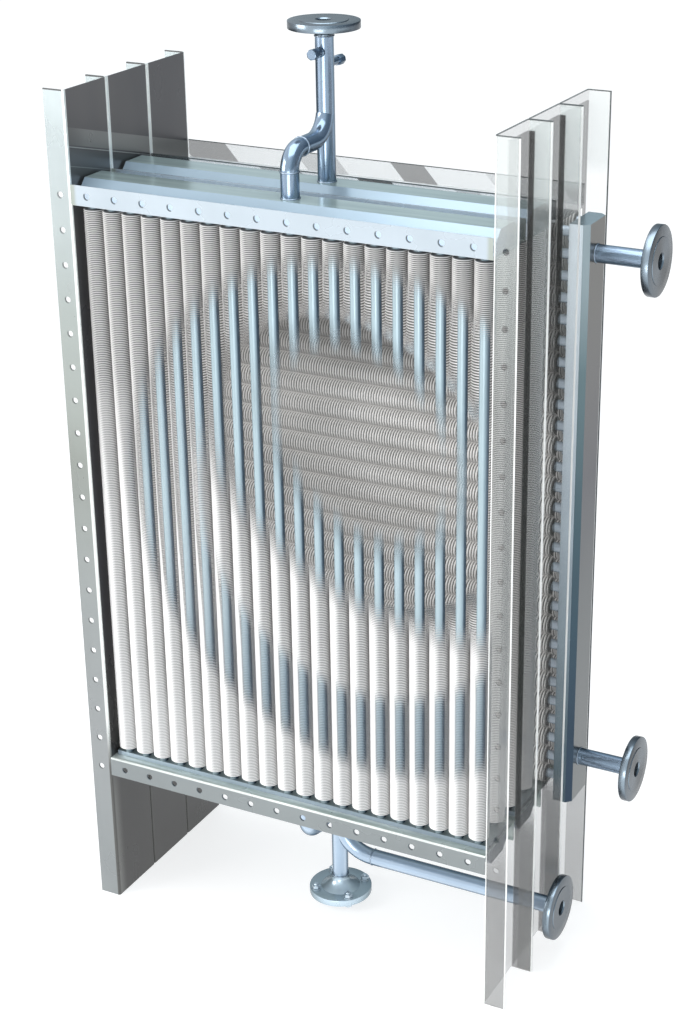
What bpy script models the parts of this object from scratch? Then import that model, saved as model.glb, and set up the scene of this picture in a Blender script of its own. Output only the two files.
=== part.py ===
"""Process air heat exchanger: three bolted duct modules with finned tube coils.

Air flows along +Y. Modules one and two hold vertical finned tubes between a
top and a bottom header, module three holds horizontal finned tubes between two
upright headers beside the duct. Metres, +Z up, the feet of the side channels
stand on z = 0 and the origin is the middle of the bounding box's bottom face.
"""

from math import cos, pi, radians, sin

import bmesh
import bpy
from mathutils import Matrix, Vector

# ---------------------------------------------------------------- dimensions
GAP = 0.0003  # between pieces that touch
SHEET = 0.003  # casing sheet
BEND = 0.006  # outside radius of a sheet bend

DUCT_W = 1.418  # between the side channels' webs
FLANGE_W = 0.0766  # side channel flange
MODULE_D = 0.2285  # one module along the air flow
CHANNEL_H = 2.868
MODULES = 3

HOLE_R = 0.010  # bolt holes of the front flanges
HOLE_SIDES = 8
SIDE_HOLES = 19
SIDE_HOLE_TOP = 2.5436
SIDE_HOLE_PITCH = 0.1123
STRIP_HOLES = 14
STRIP_HOLE_PITCH = 0.100

TOP_PLATE_Z = 2.513  # underside of the top casing plates
TOP_FLANGE_Z = 2.579
BOTTOM_PLATE_Z = 0.563  # upper side of the bottom casing plates
BOTTOM_FLANGE_Z = 0.495

ROW_Y = (0.0542, 0.1146, 0.1750)  # tube rows inside a module
TUBES = 20
TUBE_PITCH = 0.0698
CORE_R = 0.016
FIN_R = 0.0338
FIN_Z0, FIN_Z1 = 0.597, 2.4985
TUBE_SIDES = 8
ROW_WEB = 0.003  # half thickness where neighbouring fins of a row meet

HEAD_Y0, HEAD_Y1 = 0.0366, 0.1926  # header inside a module
HEAD_T = 0.082
HEAD_BEVEL = 0.032
HEAD_WALL = 0.005
HEAD_HALF = 0.701
TOP_HEAD_Z = 2.506  # tube side of the top headers
BOTTOM_HEAD_Z = 0.578  # tube side of the bottom headers
SIDE_HEAD_X = 0.738  # tube side of the upright headers
SIDE_HEAD_T = 0.062
SIDE_HEAD_BEVEL = 0.018
SIDE_HEAD_Z0, SIDE_HEAD_Z1 = 0.512, 2.503

CROSS_TUBES = 28  # horizontal tubes of module three
CROSS_PITCH = 0.0694
CROSS_FIN_X = 0.709
WEB_OPEN_Z = (0.568, 2.508)
WEB_OPEN_Y = (0.017, 0.2125)

PIPE_R = 0.0285
BORE_R = 0.0235
DISC_R = 0.110
DISC_T = 0.024
RAISED_R = 0.074
RAISED_T = 0.002
BOLT_CIRCLE_R = 0.090
TOP_FACE_Z = 3.076
FOOT_FACE_Z = 0.025
NOZZLE_Z = (2.400, 0.656)
NOZZLE_FACE_X = 1.0035
BRANCH_Z = 0.200
BRANCH_FACE_X = 0.841
TOP_ELBOW_Z = 2.7275
BOTTOM_ELBOW_Z = 0.388

HALF_W = DUCT_W / 2
MAIN_Y = MODULE_D + ROW_Y[1]  # both manifold pipes stand on header two
FIRST_Y = ROW_Y[1]
X_MID = (NOZZLE_FACE_X - (SIDE_HEAD_X + SIDE_HEAD_T)) / 2
Y_MID = MODULES * MODULE_D / 2
TO_FRAME = Matrix.Translation((-X_MID, -Y_MID, 0.0))

SLOTS = {
    "casing": ((0.62, 0.64, 0.62), 0.32, 0.85),
    "header": ((0.60, 0.70, 0.76), 0.28, 0.90),
    "tube": ((0.80, 0.80, 0.78), 0.38, 0.80),
    "pipe": ((0.56, 0.66, 0.74), 0.22, 0.95),
    "flange": ((0.46, 0.54, 0.58), 0.26, 0.95),
}

# ------------------------------------------------------------------ scene set-up
for old in list(bpy.data.objects):
    bpy.data.objects.remove(old, do_unlink=True)

PART = bpy.data.collections.new("process_air_heat_exchanger")
CUTTERS = bpy.data.collections.new("cutters")
bpy.context.scene.collection.children.link(PART)
bpy.context.scene.collection.children.link(CUTTERS)
CUTTERS.hide_render = True
BASE = bpy.data.objects.new("base", None)
PART.objects.link(BASE)

MATERIALS = {}
for slot, (colour, roughness, metallic) in SLOTS.items():
    material = bpy.data.materials.new(slot)
    material.use_nodes = True
    shader = material.node_tree.nodes["Principled BSDF"]
    shader.inputs["Base Color"].default_value = (*colour, 1.0)
    shader.inputs["Roughness"].default_value = roughness
    shader.inputs["Metallic"].default_value = metallic
    MATERIALS[slot] = material


# ----------------------------------------------------------------------- helpers
def baked(obj):
    """The object's evaluated mesh with doubles merged; the object itself goes."""
    bpy.context.view_layer.update()
    graph = bpy.context.evaluated_depsgraph_get()
    mesh = bpy.data.meshes.new_from_object(obj.evaluated_get(graph))
    bpy.data.objects.remove(obj, do_unlink=True)
    bm = bmesh.new()
    bm.from_mesh(mesh)
    bmesh.ops.remove_doubles(bm, verts=bm.verts, dist=1e-6)
    bmesh.ops.recalc_face_normals(bm, faces=bm.faces)
    bpy.data.meshes.remove(mesh)
    return bm


def outline(points, depth, place):
    """A flat outline in its own XY plane, extruded half the depth each way."""
    curve = bpy.data.curves.new("outline", "CURVE")
    curve.dimensions = "2D"
    curve.fill_mode = "BOTH"
    curve.extrude = depth / 2
    spline = curve.splines.new("POLY")
    spline.points.add(len(points) - 1)
    for spot, (u, v) in zip(spline.points, points):
        spot.co = (u, v, 0.0, 1.0)
    spline.use_cyclic_u = True
    obj = bpy.data.objects.new("outline", curve)
    CUTTERS.objects.link(obj)
    bm = baked(obj)
    bmesh.ops.transform(bm, matrix=place, verts=bm.verts)
    bmesh.ops.recalc_face_normals(bm, faces=bm.faces)
    return bm


def swept(path, radius):
    """A round bar along a path of points, with flat ends."""
    curve = bpy.data.curves.new("bar", "CURVE")
    curve.dimensions = "3D"
    curve.bevel_depth = radius
    curve.bevel_resolution = 2
    curve.use_fill_caps = True
    spline = curve.splines.new("POLY")
    spline.points.add(len(path) - 1)
    for spot, place in zip(spline.points, path):
        spot.co = (*place, 1.0)
    obj = bpy.data.objects.new("bar", curve)
    CUTTERS.objects.link(obj)
    return baked(obj)


def turned(profile, steps, place, ring=False):
    """A profile of (radius, height) turned about the local Z axis."""
    mesh = bpy.data.meshes.new("profile")
    bm = bmesh.new()
    spots = [bm.verts.new((radius, 0.0, height)) for radius, height in profile]
    for one, two in zip(spots, spots[1:]):
        bm.edges.new((one, two))
    if ring:
        bm.edges.new((spots[-1], spots[0]))
    bm.to_mesh(mesh)
    bm.free()
    obj = bpy.data.objects.new("profile", mesh)
    CUTTERS.objects.link(obj)
    screw = obj.modifiers.new("turn", "SCREW")
    screw.steps = screw.render_steps = steps
    screw.use_merge_vertices = True
    screw.merge_threshold = 0.0001
    bm = baked(obj)
    bmesh.ops.transform(bm, matrix=place, verts=bm.verts)
    return bm


def rod(bm, centre, direction, radius, length, sides):
    """Adds a straight round rod with its middle at centre."""
    turn = Vector(direction).to_track_quat("Z", "Y").to_matrix().to_4x4()
    bmesh.ops.create_cone(
        bm,
        cap_ends=True,
        segments=sides,
        radius1=radius,
        radius2=radius,
        depth=length,
        matrix=Matrix.Translation(centre) @ turn @ Matrix.Rotation(pi / sides, 4, "Z"),
    )


def block(bm, low, high):
    """Adds a box between two corners."""
    size = [b - a for a, b in zip(low, high)]
    middle = [(a + b) / 2 for a, b in zip(low, high)]
    bmesh.ops.create_cube(
        bm, size=1.0, matrix=Matrix.Translation(middle) @ Matrix.Diagonal((*size, 1.0))
    )


def arc(centre, start, end, radius, steps):
    """Points of an arc from one unit direction to another at right angles."""
    made = []
    for i in range(steps + 1):
        turn = pi / 2 * i / steps
        made.append(
            Vector(centre) + radius * (cos(turn) * Vector(start) + sin(turn) * Vector(end))
        )
    return made


def as_object(name, bm, collection):
    """Stores a mesh with its origin in the middle of its own bounding box."""
    bmesh.ops.transform(bm, matrix=TO_FRAME, verts=bm.verts)
    low = Vector(min(v.co[i] for v in bm.verts) for i in range(3))
    high = Vector(max(v.co[i] for v in bm.verts) for i in range(3))
    middle = (low + high) / 2
    bmesh.ops.translate(bm, vec=-middle, verts=bm.verts)
    mesh = bpy.data.meshes.new(name)
    bm.to_mesh(mesh)
    bm.free()
    obj = bpy.data.objects.new(name, mesh)
    obj.location = middle
    obj.parent = BASE
    collection.objects.link(obj)
    return obj


def node(name, slot, bm, cuts=(), adds=(), smooth=None):
    """Stores one sub-part, with live Boolean modifiers for its holes."""
    obj = as_object(name, bm, PART)
    obj.data.materials.append(MATERIALS[slot])
    for kind, parts in (("UNION", adds), ("DIFFERENCE", cuts)):
        for i, other in enumerate(parts):
            tool = as_object(f"{name}_{kind.lower()}_{i + 1}", other, CUTTERS)
            tool.display_type = "WIRE"
            tool.hide_render = True
            step = obj.modifiers.new(tool.name, "BOOLEAN")
            step.operation = kind
            step.solver = "EXACT"
            step.object = tool
    if smooth is not None:
        obj.data.shade_smooth()
        obj.data.set_sharp_from_angle(angle=radians(smooth))
    return obj


# Local XY planes laid into the part: (u, v) to the axes named.
FROM_YZ = Matrix(((0, 0, 1, 0), (1, 0, 0, 0), (0, 1, 0, 0), (0, 0, 0, 1)))
FROM_XZ = Matrix(((1, 0, 0, 0), (0, 0, -1, 0), (0, 1, 0, 0), (0, 0, 0, 1)))
UP = Matrix.Identity(4)
DOWN = Matrix.Rotation(pi, 4, "X")
TO_X = Matrix.Rotation(pi / 2, 4, "Y")


def bend_points(corner, one, two, radius, steps=2):
    """Points that round a corner between the directions one and two."""
    corner, one, two = Vector(corner), Vector(one), Vector(two)
    centre = corner + radius * (one + two)
    made = []
    for i in range(steps + 1):
        turn = pi / 2 * i / steps
        made.append(centre - radius * (cos(turn) * two + sin(turn) * one))
    return [(p.x, p.y) for p in made]


def pressed_channel(leg, depth):
    """Outline of a pressed channel: web along v at u = 0, legs toward +u."""
    inner = BEND - SHEET
    return (
        bend_points((0, 0), (0, 1), (1, 0), BEND)
        + [(leg, 0), (leg, SHEET)]
        + bend_points((SHEET, SHEET), (1, 0), (0, 1), inner)
        + bend_points((SHEET, depth - SHEET), (0, -1), (1, 0), inner)
        + [(leg, depth - SHEET), (leg, depth)]
        + bend_points((0, depth), (1, 0), (0, -1), BEND)
    )


# ------------------------------------------------------------- side channels
def side_channel(side, module):
    name = f"side_channel_{'right' if side > 0 else 'left'}_{module + 1}"
    y0 = module * MODULE_D + GAP / 2
    depth = MODULE_D - GAP
    shape = [(side * (HALF_W + u), y0 + v) for u, v in pressed_channel(FLANGE_W, depth)]
    bm = outline(shape, CHANNEL_H, Matrix.Translation((0, 0, CHANNEL_H / 2)))
    cuts = []
    if module == 0:
        holes = bmesh.new()
        for i in range(SIDE_HOLES):
            z = SIDE_HOLE_TOP - SIDE_HOLE_PITCH * i
            x = side * (HALF_W + FLANGE_W / 2)
            rod(holes, (x, SHEET / 2, z), (0, 1, 0), HOLE_R, 0.012, HOLE_SIDES)
        cuts.append(holes)
    if module == 1 and side > 0:
        pass_hole = bmesh.new()
        centre = (HALF_W + SHEET / 2, MAIN_Y, BRANCH_Z)
        rod(pass_hole, centre, (1, 0, 0), PIPE_R + 0.004, 0.012, 16)
        cuts.append(pass_hole)
    if module == 2:
        window = bmesh.new()
        low = min(side * (HALF_W - 0.004), side * (HALF_W + 0.009))
        block(
            window,
            (low, 2 * MODULE_D + WEB_OPEN_Y[0], WEB_OPEN_Z[0]),
            (low + 0.013, 2 * MODULE_D + WEB_OPEN_Y[1], WEB_OPEN_Z[1]),
        )
        cuts.append(window)
    node(name, "casing", bm, cuts)


# ------------------------------------------------------------- casing plates
def casing_plate(upper, module):
    name = f"{'top' if upper else 'bottom'}_plate_{module + 1}"
    y0 = module * MODULE_D + GAP / 2
    depth = MODULE_D - GAP
    length = DUCT_W - 2 * GAP
    if upper:
        base, leg, way = TOP_PLATE_Z, TOP_FLANGE_Z - TOP_PLATE_Z, 1
    else:
        base, leg, way = BOTTOM_PLATE_Z, BOTTOM_PLATE_Z - BOTTOM_FLANGE_Z, -1
    shape = [(y0 + v, base + way * u) for u, v in pressed_channel(leg, depth)]
    bm = outline(shape, length, FROM_YZ)
    cuts = []
    if module == 0:
        holes = bmesh.new()
        z = base + way * (leg / 2 + 0.001)
        for i in range(STRIP_HOLES):
            x = STRIP_HOLE_PITCH * (i - (STRIP_HOLES - 1) / 2)
            rod(holes, (x, SHEET / 2, z), (0, 1, 0), HOLE_R, 0.012, HOLE_SIDES)
        cuts.append(holes)
    if module < 2:
        window = bmesh.new()
        room = 0.0005
        start = module * MODULE_D
        block(
            window,
            (-HEAD_HALF - room, start + HEAD_Y0 - room, base - 0.01),
            (HEAD_HALF + room, start + HEAD_Y1 + room, base + 0.01),
        )
        cuts.append(window)
    node(name, "casing", bm, cuts)


# ------------------------------------------------------------------- headers
def header_outline(thick, bevel, inset=0.0):
    """Header section: tube side along v = 0, bevelled edges at v = thick."""
    trim = inset * 0.4142  # keeps the wall even across the bevels
    y0, y1 = HEAD_Y0 + inset, HEAD_Y1 - inset
    low, high = inset, thick - inset
    cut = bevel - inset + trim
    return [(y0, low), (y1, low), (y1, high - cut), (y1 - cut, high), (y0 + cut, high), (y0, high - cut)]


def header(name, place, half, bores, thick=HEAD_T, bevel=HEAD_BEVEL):
    """A box header laid along local X by place, hollow, open at its bores."""
    bm = outline(header_outline(thick, bevel), 2 * half, place @ FROM_YZ)
    hollow = outline(header_outline(thick, bevel, HEAD_WALL), 2 * (half - HEAD_WALL), place @ FROM_YZ)
    drill = bmesh.new()
    for centre, direction, radius, length in bores:
        rod(drill, centre, direction, radius, length, 12)
    node(name, "header", bm, [hollow, drill])


def flat_headers():
    for module in (0, 1):
        start = module * MODULE_D
        y = start + ROW_Y[1]
        top = Matrix.Translation((0, start, TOP_HEAD_Z))
        bottom = Matrix.Translation((0, start, BOTTOM_HEAD_Z)) @ Matrix.Diagonal((1, 1, -1, 1))
        header(
            f"header_top_{module + 1}",
            top,
            HEAD_HALF,
            [((0, y, TOP_HEAD_Z + HEAD_T), (0, 0, 1), BORE_R, 0.03)],
        )
        header(
            f"header_bottom_{module + 1}",
            bottom,
            HEAD_HALF,
            [((0, y, BOTTOM_HEAD_Z - HEAD_T), (0, 0, 1), BORE_R, 0.03)],
        )


def side_headers():
    middle = (SIDE_HEAD_Z0 + SIDE_HEAD_Z1) / 2
    half = (SIDE_HEAD_Z1 - SIDE_HEAD_Z0) / 2
    start = 2 * MODULE_D
    y = start + ROW_Y[1]
    upright = Matrix(((0, 0, 1, 0), (0, 1, 0, 0), (1, 0, 0, 0), (0, 0, 0, 1)))
    right = Matrix.Translation((SIDE_HEAD_X, start, middle)) @ upright
    left = Matrix.Diagonal((-1, 1, 1, 1)) @ right
    outer = SIDE_HEAD_X + SIDE_HEAD_T
    header(
        "header_side_right",
        right,
        half,
        [((outer, y, z), (1, 0, 0), BORE_R, 0.03) for z in NOZZLE_Z],
        SIDE_HEAD_T,
        SIDE_HEAD_BEVEL,
    )
    header(
        "header_side_left",
        left,
        half,
        [((-outer + 0.03, y, SIDE_HEAD_Z0), (0, 0, 1), 0.008, 0.03)],
        SIDE_HEAD_T,
        SIDE_HEAD_BEVEL,
    )


# --------------------------------------------------------------- finned tubes
def front_row():
    low, high = BOTTOM_HEAD_Z + GAP, TOP_HEAD_Z - GAP
    profile = [
        (0.0, high),
        (CORE_R, high),
        (CORE_R, FIN_Z1),
        (FIN_R, FIN_Z1),
        (FIN_R, FIN_Z0),
        (CORE_R, FIN_Z0),
        (CORE_R, low),
        (0.0, low),
    ]
    for i in range(TUBES):
        x = TUBE_PITCH * (i - (TUBES - 1) / 2)
        place = Matrix.Translation((x, ROW_Y[0], 0))
        bm = turned(profile, TUBE_SIDES, place @ Matrix.Rotation(pi / 8, 4, "Z"))
        node(f"finned_tube_{i + 1:02d}", "tube", bm, smooth=50)


def row_outline(count, pitch, y):
    """Fin edge of a whole row: round lobes that meet between the tubes."""
    turns = (42, 90, 138)
    near, far = [], []
    for i in range(count):
        x = pitch * (i - (count - 1) / 2)
        if i:
            near.append((x - pitch / 2, y - ROW_WEB))
            far.append((x - pitch / 2, y + ROW_WEB))
        for turn in turns:
            dx, dy = -FIN_R * cos(radians(turn)), FIN_R * sin(radians(turn))
            near.append((x + dx, y - dy))
            far.append((x + dx, y + dy))
    edge = pitch * (count - 1) / 2 + FIN_R
    return [(-edge, y)] + near + [(edge, y)] + far[::-1]


def upright_rows():
    low, high = BOTTOM_HEAD_Z + GAP, TOP_HEAD_Z - GAP
    middle = Matrix.Translation((0, 0, (low + high) / 2))
    for module, rows in ((0, (1, 2)), (1, (0, 1, 2))):
        for row in rows:
            count = TUBES - row % 2
            y = module * MODULE_D + ROW_Y[row]
            bm = outline(row_outline(count, TUBE_PITCH, y), high - low, middle)
            node(f"tube_row_{module + 1}_{row + 1}", "tube", bm)


def cross_rows():
    middle = (TOP_PLATE_Z + BOTTOM_PLATE_Z) / 2
    lay = Matrix(((0, 0, 1, 0), (0, 1, 0, 0), (1, 0, 0, middle), (0, 0, 0, 1)))
    reach = SIDE_HEAD_X - GAP
    for row in (0, 1, 2):
        count = CROSS_TUBES - row % 2
        y = 2 * MODULE_D + ROW_Y[row]
        bm = outline(row_outline(count, CROSS_PITCH, y), 2 * CROSS_FIN_X, lay)
        stubs = bmesh.new()
        for side in (-1, 1):
            x0 = CROSS_FIN_X - 0.004
            for i in range(count):
                z = middle + CROSS_PITCH * (i - (count - 1) / 2)
                centre = (side * (x0 + reach) / 2, y, z)
                rod(stubs, centre, (1, 0, 0), CORE_R, reach - x0, 4)
        node(f"tube_row_3_{row + 1}", "tube", bm, adds=[stubs])


# --------------------------------------------------------- flanges and pipes
def neck_flange(name, place, hub_r, hub_h, bolts=False):
    """Flange with its raised face at local z = 0 and the neck behind it."""
    back = -RAISED_T - DISC_T
    profile = [
        (BORE_R, 0.0),
        (RAISED_R, 0.0),
        (RAISED_R, -RAISED_T),
        (DISC_R, -RAISED_T),
        (DISC_R, back),
        (hub_r, back),
        (PIPE_R + 0.001, back - hub_h * 0.8),
        (PIPE_R + 0.001, back - hub_h),
        (BORE_R, back - hub_h),
    ]
    bm = turned(profile, 16, place, ring=True)
    adds = []
    if bolts:
        for k in range(4):
            turn = pi / 4 + pi / 2 * k
            x, y = BOLT_CIRCLE_R * cos(turn), BOLT_CIRCLE_R * sin(turn)
            nut = bmesh.new()
            spot = place @ Vector((x, y, back - 0.006))
            along = place.to_3x3() @ Vector((0, 0, 1))
            rod(nut, spot, along, 0.014, 0.016, 6)
            adds.append(nut)
            stud = bmesh.new()
            spot = place @ Vector((x, y, back - 0.010))
            rod(stud, spot, along, 0.007, 0.030, 6)
            adds.append(stud)
    node(name, "flange", bm, adds=adds, smooth=40)


def pipe(name, path, cuts=()):
    """A hollow round pipe along a path, open at both ends."""
    first = (path[0] - path[1]).normalized() * 0.004
    last = (path[-1] - path[-2]).normalized() * 0.004
    inner = [path[0] + first] + list(path[1:-1]) + [path[-1] + last]
    node(name, "pipe", swept(path, PIPE_R), [swept(inner, BORE_R), *cuts], smooth=60)


def around_main(z0, z1):
    """Room for the upright manifold pipe, cut from what meets it."""
    bm = bmesh.new()
    rod(bm, (0, MAIN_Y, (z0 + z1) / 2), (0, 0, 1), PIPE_R + 0.0012, z1 - z0, 24)
    return bm


def socket(name, z, way, reach):
    """A small screwed socket with a capped end on the upright pipe."""
    neck, cap = 0.012, 0.0165
    start = PIPE_R - 0.008
    profile = [
        (0.0, reach),
        (cap * 0.85, reach),
        (cap, reach - 0.003),
        (cap, reach - 0.032),
        (neck, reach - 0.036),
        (neck, start),
        (0.0, start),
    ]
    turn = Matrix.Rotation(pi / 2 if way < 0 else -pi / 2, 4, "X")
    bm = turned(profile, 8, Matrix.Translation((0, MAIN_Y, z)) @ turn)
    node(name, "pipe", bm, [around_main(z - 0.05, z + 0.05)])


def top_manifold():
    base = TOP_HEAD_Z + HEAD_T + GAP
    hub = 0.022
    neck_end = TOP_FACE_Z - RAISED_T - DISC_T - hub
    up = [Vector((0, MAIN_Y, base)), Vector((0, MAIN_Y, neck_end - GAP))]
    pipe("top_pipe_main", up)
    neck_flange("top_flange", Matrix.Translation((0, MAIN_Y, TOP_FACE_Z)), 0.054, hub)
    r1, r2 = 0.060, 0.090
    path = [Vector((0, FIRST_Y, base))]
    path += arc((0, FIRST_Y + r1, TOP_ELBOW_Z - r1), (0, -1, 0), (0, 0, 1), r1, 5)
    path += arc((0, MAIN_Y - r2, TOP_ELBOW_Z + r2), (0, 0, -1), (0, 1, 0), r2, 6)
    pipe("top_pipe_branch", path, [around_main(2.60, 3.0)])
    socket("top_socket_front", 2.983, -1, 0.083)
    socket("top_socket_rear", 2.941, 1, 0.108)


def bottom_manifold():
    base = BOTTOM_HEAD_Z - HEAD_T - GAP
    hub = 0.045
    neck_end = FOOT_FACE_Z + RAISED_T + DISC_T + hub
    down = [Vector((0, MAIN_Y, base)), Vector((0, MAIN_Y, neck_end + GAP))]
    pipe("bottom_pipe_main", down)
    place = Matrix.Translation((0, MAIN_Y, FOOT_FACE_Z)) @ DOWN
    neck_flange("bottom_flange", place, 0.066, hub, bolts=True)
    r1, r2 = 0.060, 0.130
    path = [Vector((0, FIRST_Y, base))]
    path += arc((0, FIRST_Y + r1, BOTTOM_ELBOW_Z + r1), (0, -1, 0), (0, 0, -1), r1, 5)
    path.append(Vector((0, MAIN_Y - PIPE_R * 0.6, BOTTOM_ELBOW_Z)))
    pipe("bottom_pipe_branch", path, [around_main(0.30, 0.48)])
    hub = 0.020
    neck_end = BRANCH_FACE_X - RAISED_T - DISC_T - hub
    path = arc((r2, MAIN_Y, BRANCH_Z + r2), (-1, 0, 0), (0, 0, -1), r2, 7)
    path.append(Vector((neck_end - GAP, MAIN_Y, BRANCH_Z)))
    pipe("bottom_side_pipe", path, [around_main(0.12, 0.48)])
    place = Matrix.Translation((BRANCH_FACE_X, MAIN_Y, BRANCH_Z)) @ TO_X
    neck_flange("bottom_side_flange", place, 0.044, hub)


def side_nozzles():
    y = 2 * MODULE_D + ROW_Y[1]
    hub = 0.012
    neck_end = NOZZLE_FACE_X - RAISED_T - DISC_T - hub
    for name, z in zip(("upper", "lower"), NOZZLE_Z):
        start = SIDE_HEAD_X + SIDE_HEAD_T + GAP
        path = [Vector((start, y, z)), Vector((neck_end - GAP, y, z))]
        pipe(f"nozzle_pipe_{name}", path)
        place = Matrix.Translation((NOZZLE_FACE_X, y, z)) @ TO_X
        neck_flange(f"nozzle_flange_{name}", place, 0.036, hub)


# --------------------------------------------------------------------- build
for module in range(MODULES):
    for side in (-1, 1):
        side_channel(side, module)
    for upper in (False, True):
        casing_plate(upper, module)
flat_headers()
side_headers()
front_row()
upright_rows()
cross_rows()
top_manifold()
bottom_manifold()
side_nozzles()
bpy.context.view_layer.update()
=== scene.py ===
import math

import bpy
import numpy as np
from mathutils import Matrix, Vector


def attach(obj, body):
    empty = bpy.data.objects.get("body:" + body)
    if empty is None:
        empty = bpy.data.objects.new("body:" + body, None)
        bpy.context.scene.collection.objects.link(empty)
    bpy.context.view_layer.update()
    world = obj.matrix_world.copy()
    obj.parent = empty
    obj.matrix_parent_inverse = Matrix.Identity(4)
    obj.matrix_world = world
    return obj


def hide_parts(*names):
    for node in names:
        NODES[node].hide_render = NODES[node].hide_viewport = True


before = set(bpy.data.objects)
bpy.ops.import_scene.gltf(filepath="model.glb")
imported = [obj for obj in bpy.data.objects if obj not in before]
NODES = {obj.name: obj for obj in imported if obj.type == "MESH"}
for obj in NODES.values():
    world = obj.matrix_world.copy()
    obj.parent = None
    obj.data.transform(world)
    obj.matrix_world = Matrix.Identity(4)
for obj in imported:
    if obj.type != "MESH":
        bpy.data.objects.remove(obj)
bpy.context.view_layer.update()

# --------------------------------------------------------------- dimensions
# Lengths are measured from the middle between the side channels' webs and the
# front face; OX and OY bring them into the frame.
OX, OY = -0.10175, -0.34275
DUCT_W, FLANGE_W, MODULE_D, CHANNEL_H = 1.418, 0.0766, 0.2285, 2.868
HALF_W = DUCT_W / 2
SHEET, BEND, GAP = 0.003, 0.006, 0.0003
ROW_Y = (0.0542, 0.1146, 0.1750)
TUBES, TUBE_PITCH = 20, 0.0698
CORE_R, FIN_R = 0.016, 0.0338
FIN_Z0, FIN_Z1 = 0.597, 2.4985
HEAD_Y0, HEAD_Y1, HEAD_T = 0.0366, 0.1926, 0.082
HEAD_HALF = 0.701
TOP_HEAD_Z, BOTTOM_HEAD_Z = 2.506, 0.578
SIDE_HEAD_X, SIDE_HEAD_T, SIDE_HEAD_Z0, SIDE_HEAD_Z1 = 0.738, 0.062, 0.512, 2.503
CROSS_TUBES, CROSS_PITCH, CROSS_FIN_X = 28, 0.0694, 0.709
CROSS_MID = (2.513 + 0.563) / 2
PIPE_R, BORE_R, DISC_R, DISC_T, RAISED_R, RAISED_T = 0.0285, 0.0235, 0.110, 0.024, 0.074, 0.002
TOP_FACE_Z, FOOT_FACE_Z = 3.076, 0.025
NOZZLE_Z, NOZZLE_FACE_X = (2.400, 0.656), 1.0035
BRANCH_Z, BRANCH_FACE_X = 0.200, 0.841
TOP_ELBOW_Z, BOTTOM_ELBOW_Z = 2.7275, 0.388
MAIN_Y, FIRST_Y = MODULE_D + ROW_Y[1], ROW_Y[1]
FIN_PITCH, CROSS_FIN_PITCH = 0.0059, 0.0095
GROOVE = 0.0055
STRIP_HOLE_Z = (2.547, 0.528)

# ------------------------------------------------------------ cut-away window
# The upright tubes of the first two modules and their fins fade out inside slanted oval cylinders, so that the bare
# tubes and the crosswise tubes of the last module show. The ovals lie on the plane of the first row's fin edges and run
# back along LEAN.
LEAN = (0.533, 0.446)
PLANE_Y = 0.0204


def oval(cx, cz, ax, az, ru, rw):
    norm = math.hypot(ax, az)
    return dict(c=(cx, cz), u=(ax / norm, az / norm), r=(ru, rw))


OUTER = oval(0.269, 1.609, 0.585, -0.811, 0.865, 0.827)
MIDDLE = oval(0.269, 1.609, 0.585, -0.811, 0.640, 0.615)
INNER = oval(0.396, 1.837, -0.941, 0.338, 0.699, 0.504)
CORE = oval(0.280, 1.890, 0.721, 0.693, 0.322, 0.405)
DEEP = oval(0.274, 1.813, -0.795, 0.606, 0.570, 0.465)


def oval_vectors(o):
    """Two vectors with offsets whose products with a point give the oval's own coordinates."""
    (cx, cz), (ux, uz), (ru, rw) = o["c"], o["u"], o["r"]
    wx, wz = -uz, ux
    made = []
    for (ax, az), r in (((ux, uz), ru), ((wx, wz), rw)):
        vec = (ax / r, (LEAN[0] * ax + LEAN[1] * az) / r, az / r)
        # the point is in the frame: x = X - OX, y = Y - OY
        off = -(OX * vec[0] + (OY + PLANE_Y) * vec[1]) - (cx * ax + cz * az) / r
        made.append((vec, off))
    return made


def oval_distance(o, pts):
    (v1, o1), (v2, o2) = oval_vectors(o)
    pts = np.asarray(pts, float)
    return np.hypot(pts @ np.array(v1) + o1, pts @ np.array(v2) + o2)


def smooth(x, a, b):
    t = np.clip((x - a) / (b - a), 0, 1)
    return t * t * (3 - 2 * t)


SOFT_OUT = (0.90, 1.04)
SOFT_MID = (0.86, 1.02)
SOFT_IN = (0.90, 1.16)
SOFT_CORE = (0.70, 1.14)
SOFT_DEEP = (0.93, 1.06)
RING_LOW, RING_HIGH = 0.08, 0.36


# beyond this line of sight the tubes are seen through the clear right channels, complete
RIGHT_END = (0.698, 0.711)


def front_fin_alpha(pts):
    pts = np.asarray(pts, float)
    outside = smooth(oval_distance(OUTER, pts), *SOFT_OUT)
    middle = 1 - smooth(oval_distance(MIDDLE, pts), *SOFT_MID)
    window = smooth(oval_distance(INNER, pts), *SOFT_IN)
    ring = RING_HIGH + (RING_LOW - RING_HIGH) * smooth(pts[:, 2], 0.72, 1.30)
    return window * np.maximum(np.maximum(outside, middle), ring)


def core_alpha(pts):
    return smooth(oval_distance(CORE, pts), *SOFT_CORE)


def deep_alpha(pts):
    pts = np.asarray(pts, float)
    across = (pts[:, 0] - OX) + LEAN[0] * (pts[:, 1] - OY - PLANE_Y)
    return np.maximum(smooth(oval_distance(DEEP, pts), *SOFT_DEEP), smooth(across, *RIGHT_END))


# ------------------------------------------------------------------ materials
def new_material(name):
    m = bpy.data.materials.new(name)
    m.use_nodes = True
    nt = m.node_tree
    nt.nodes.clear()
    out = nt.nodes.new("ShaderNodeOutputMaterial")
    sh = nt.nodes.new("ShaderNodeBsdfPrincipled")
    nt.links.new(sh.outputs[0], out.inputs[0])
    return m, nt, sh


def math_node(nt, op, a, b=None, c=None, clamp=False):
    n = nt.nodes.new("ShaderNodeMath")
    n.operation = op
    n.use_clamp = clamp
    for i, v in enumerate((a, b, c)):
        if v is None:
            continue
        if isinstance(v, (int, float)):
            n.inputs[i].default_value = v
        else:
            nt.links.new(v, n.inputs[i])
    return n.outputs[0]


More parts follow.
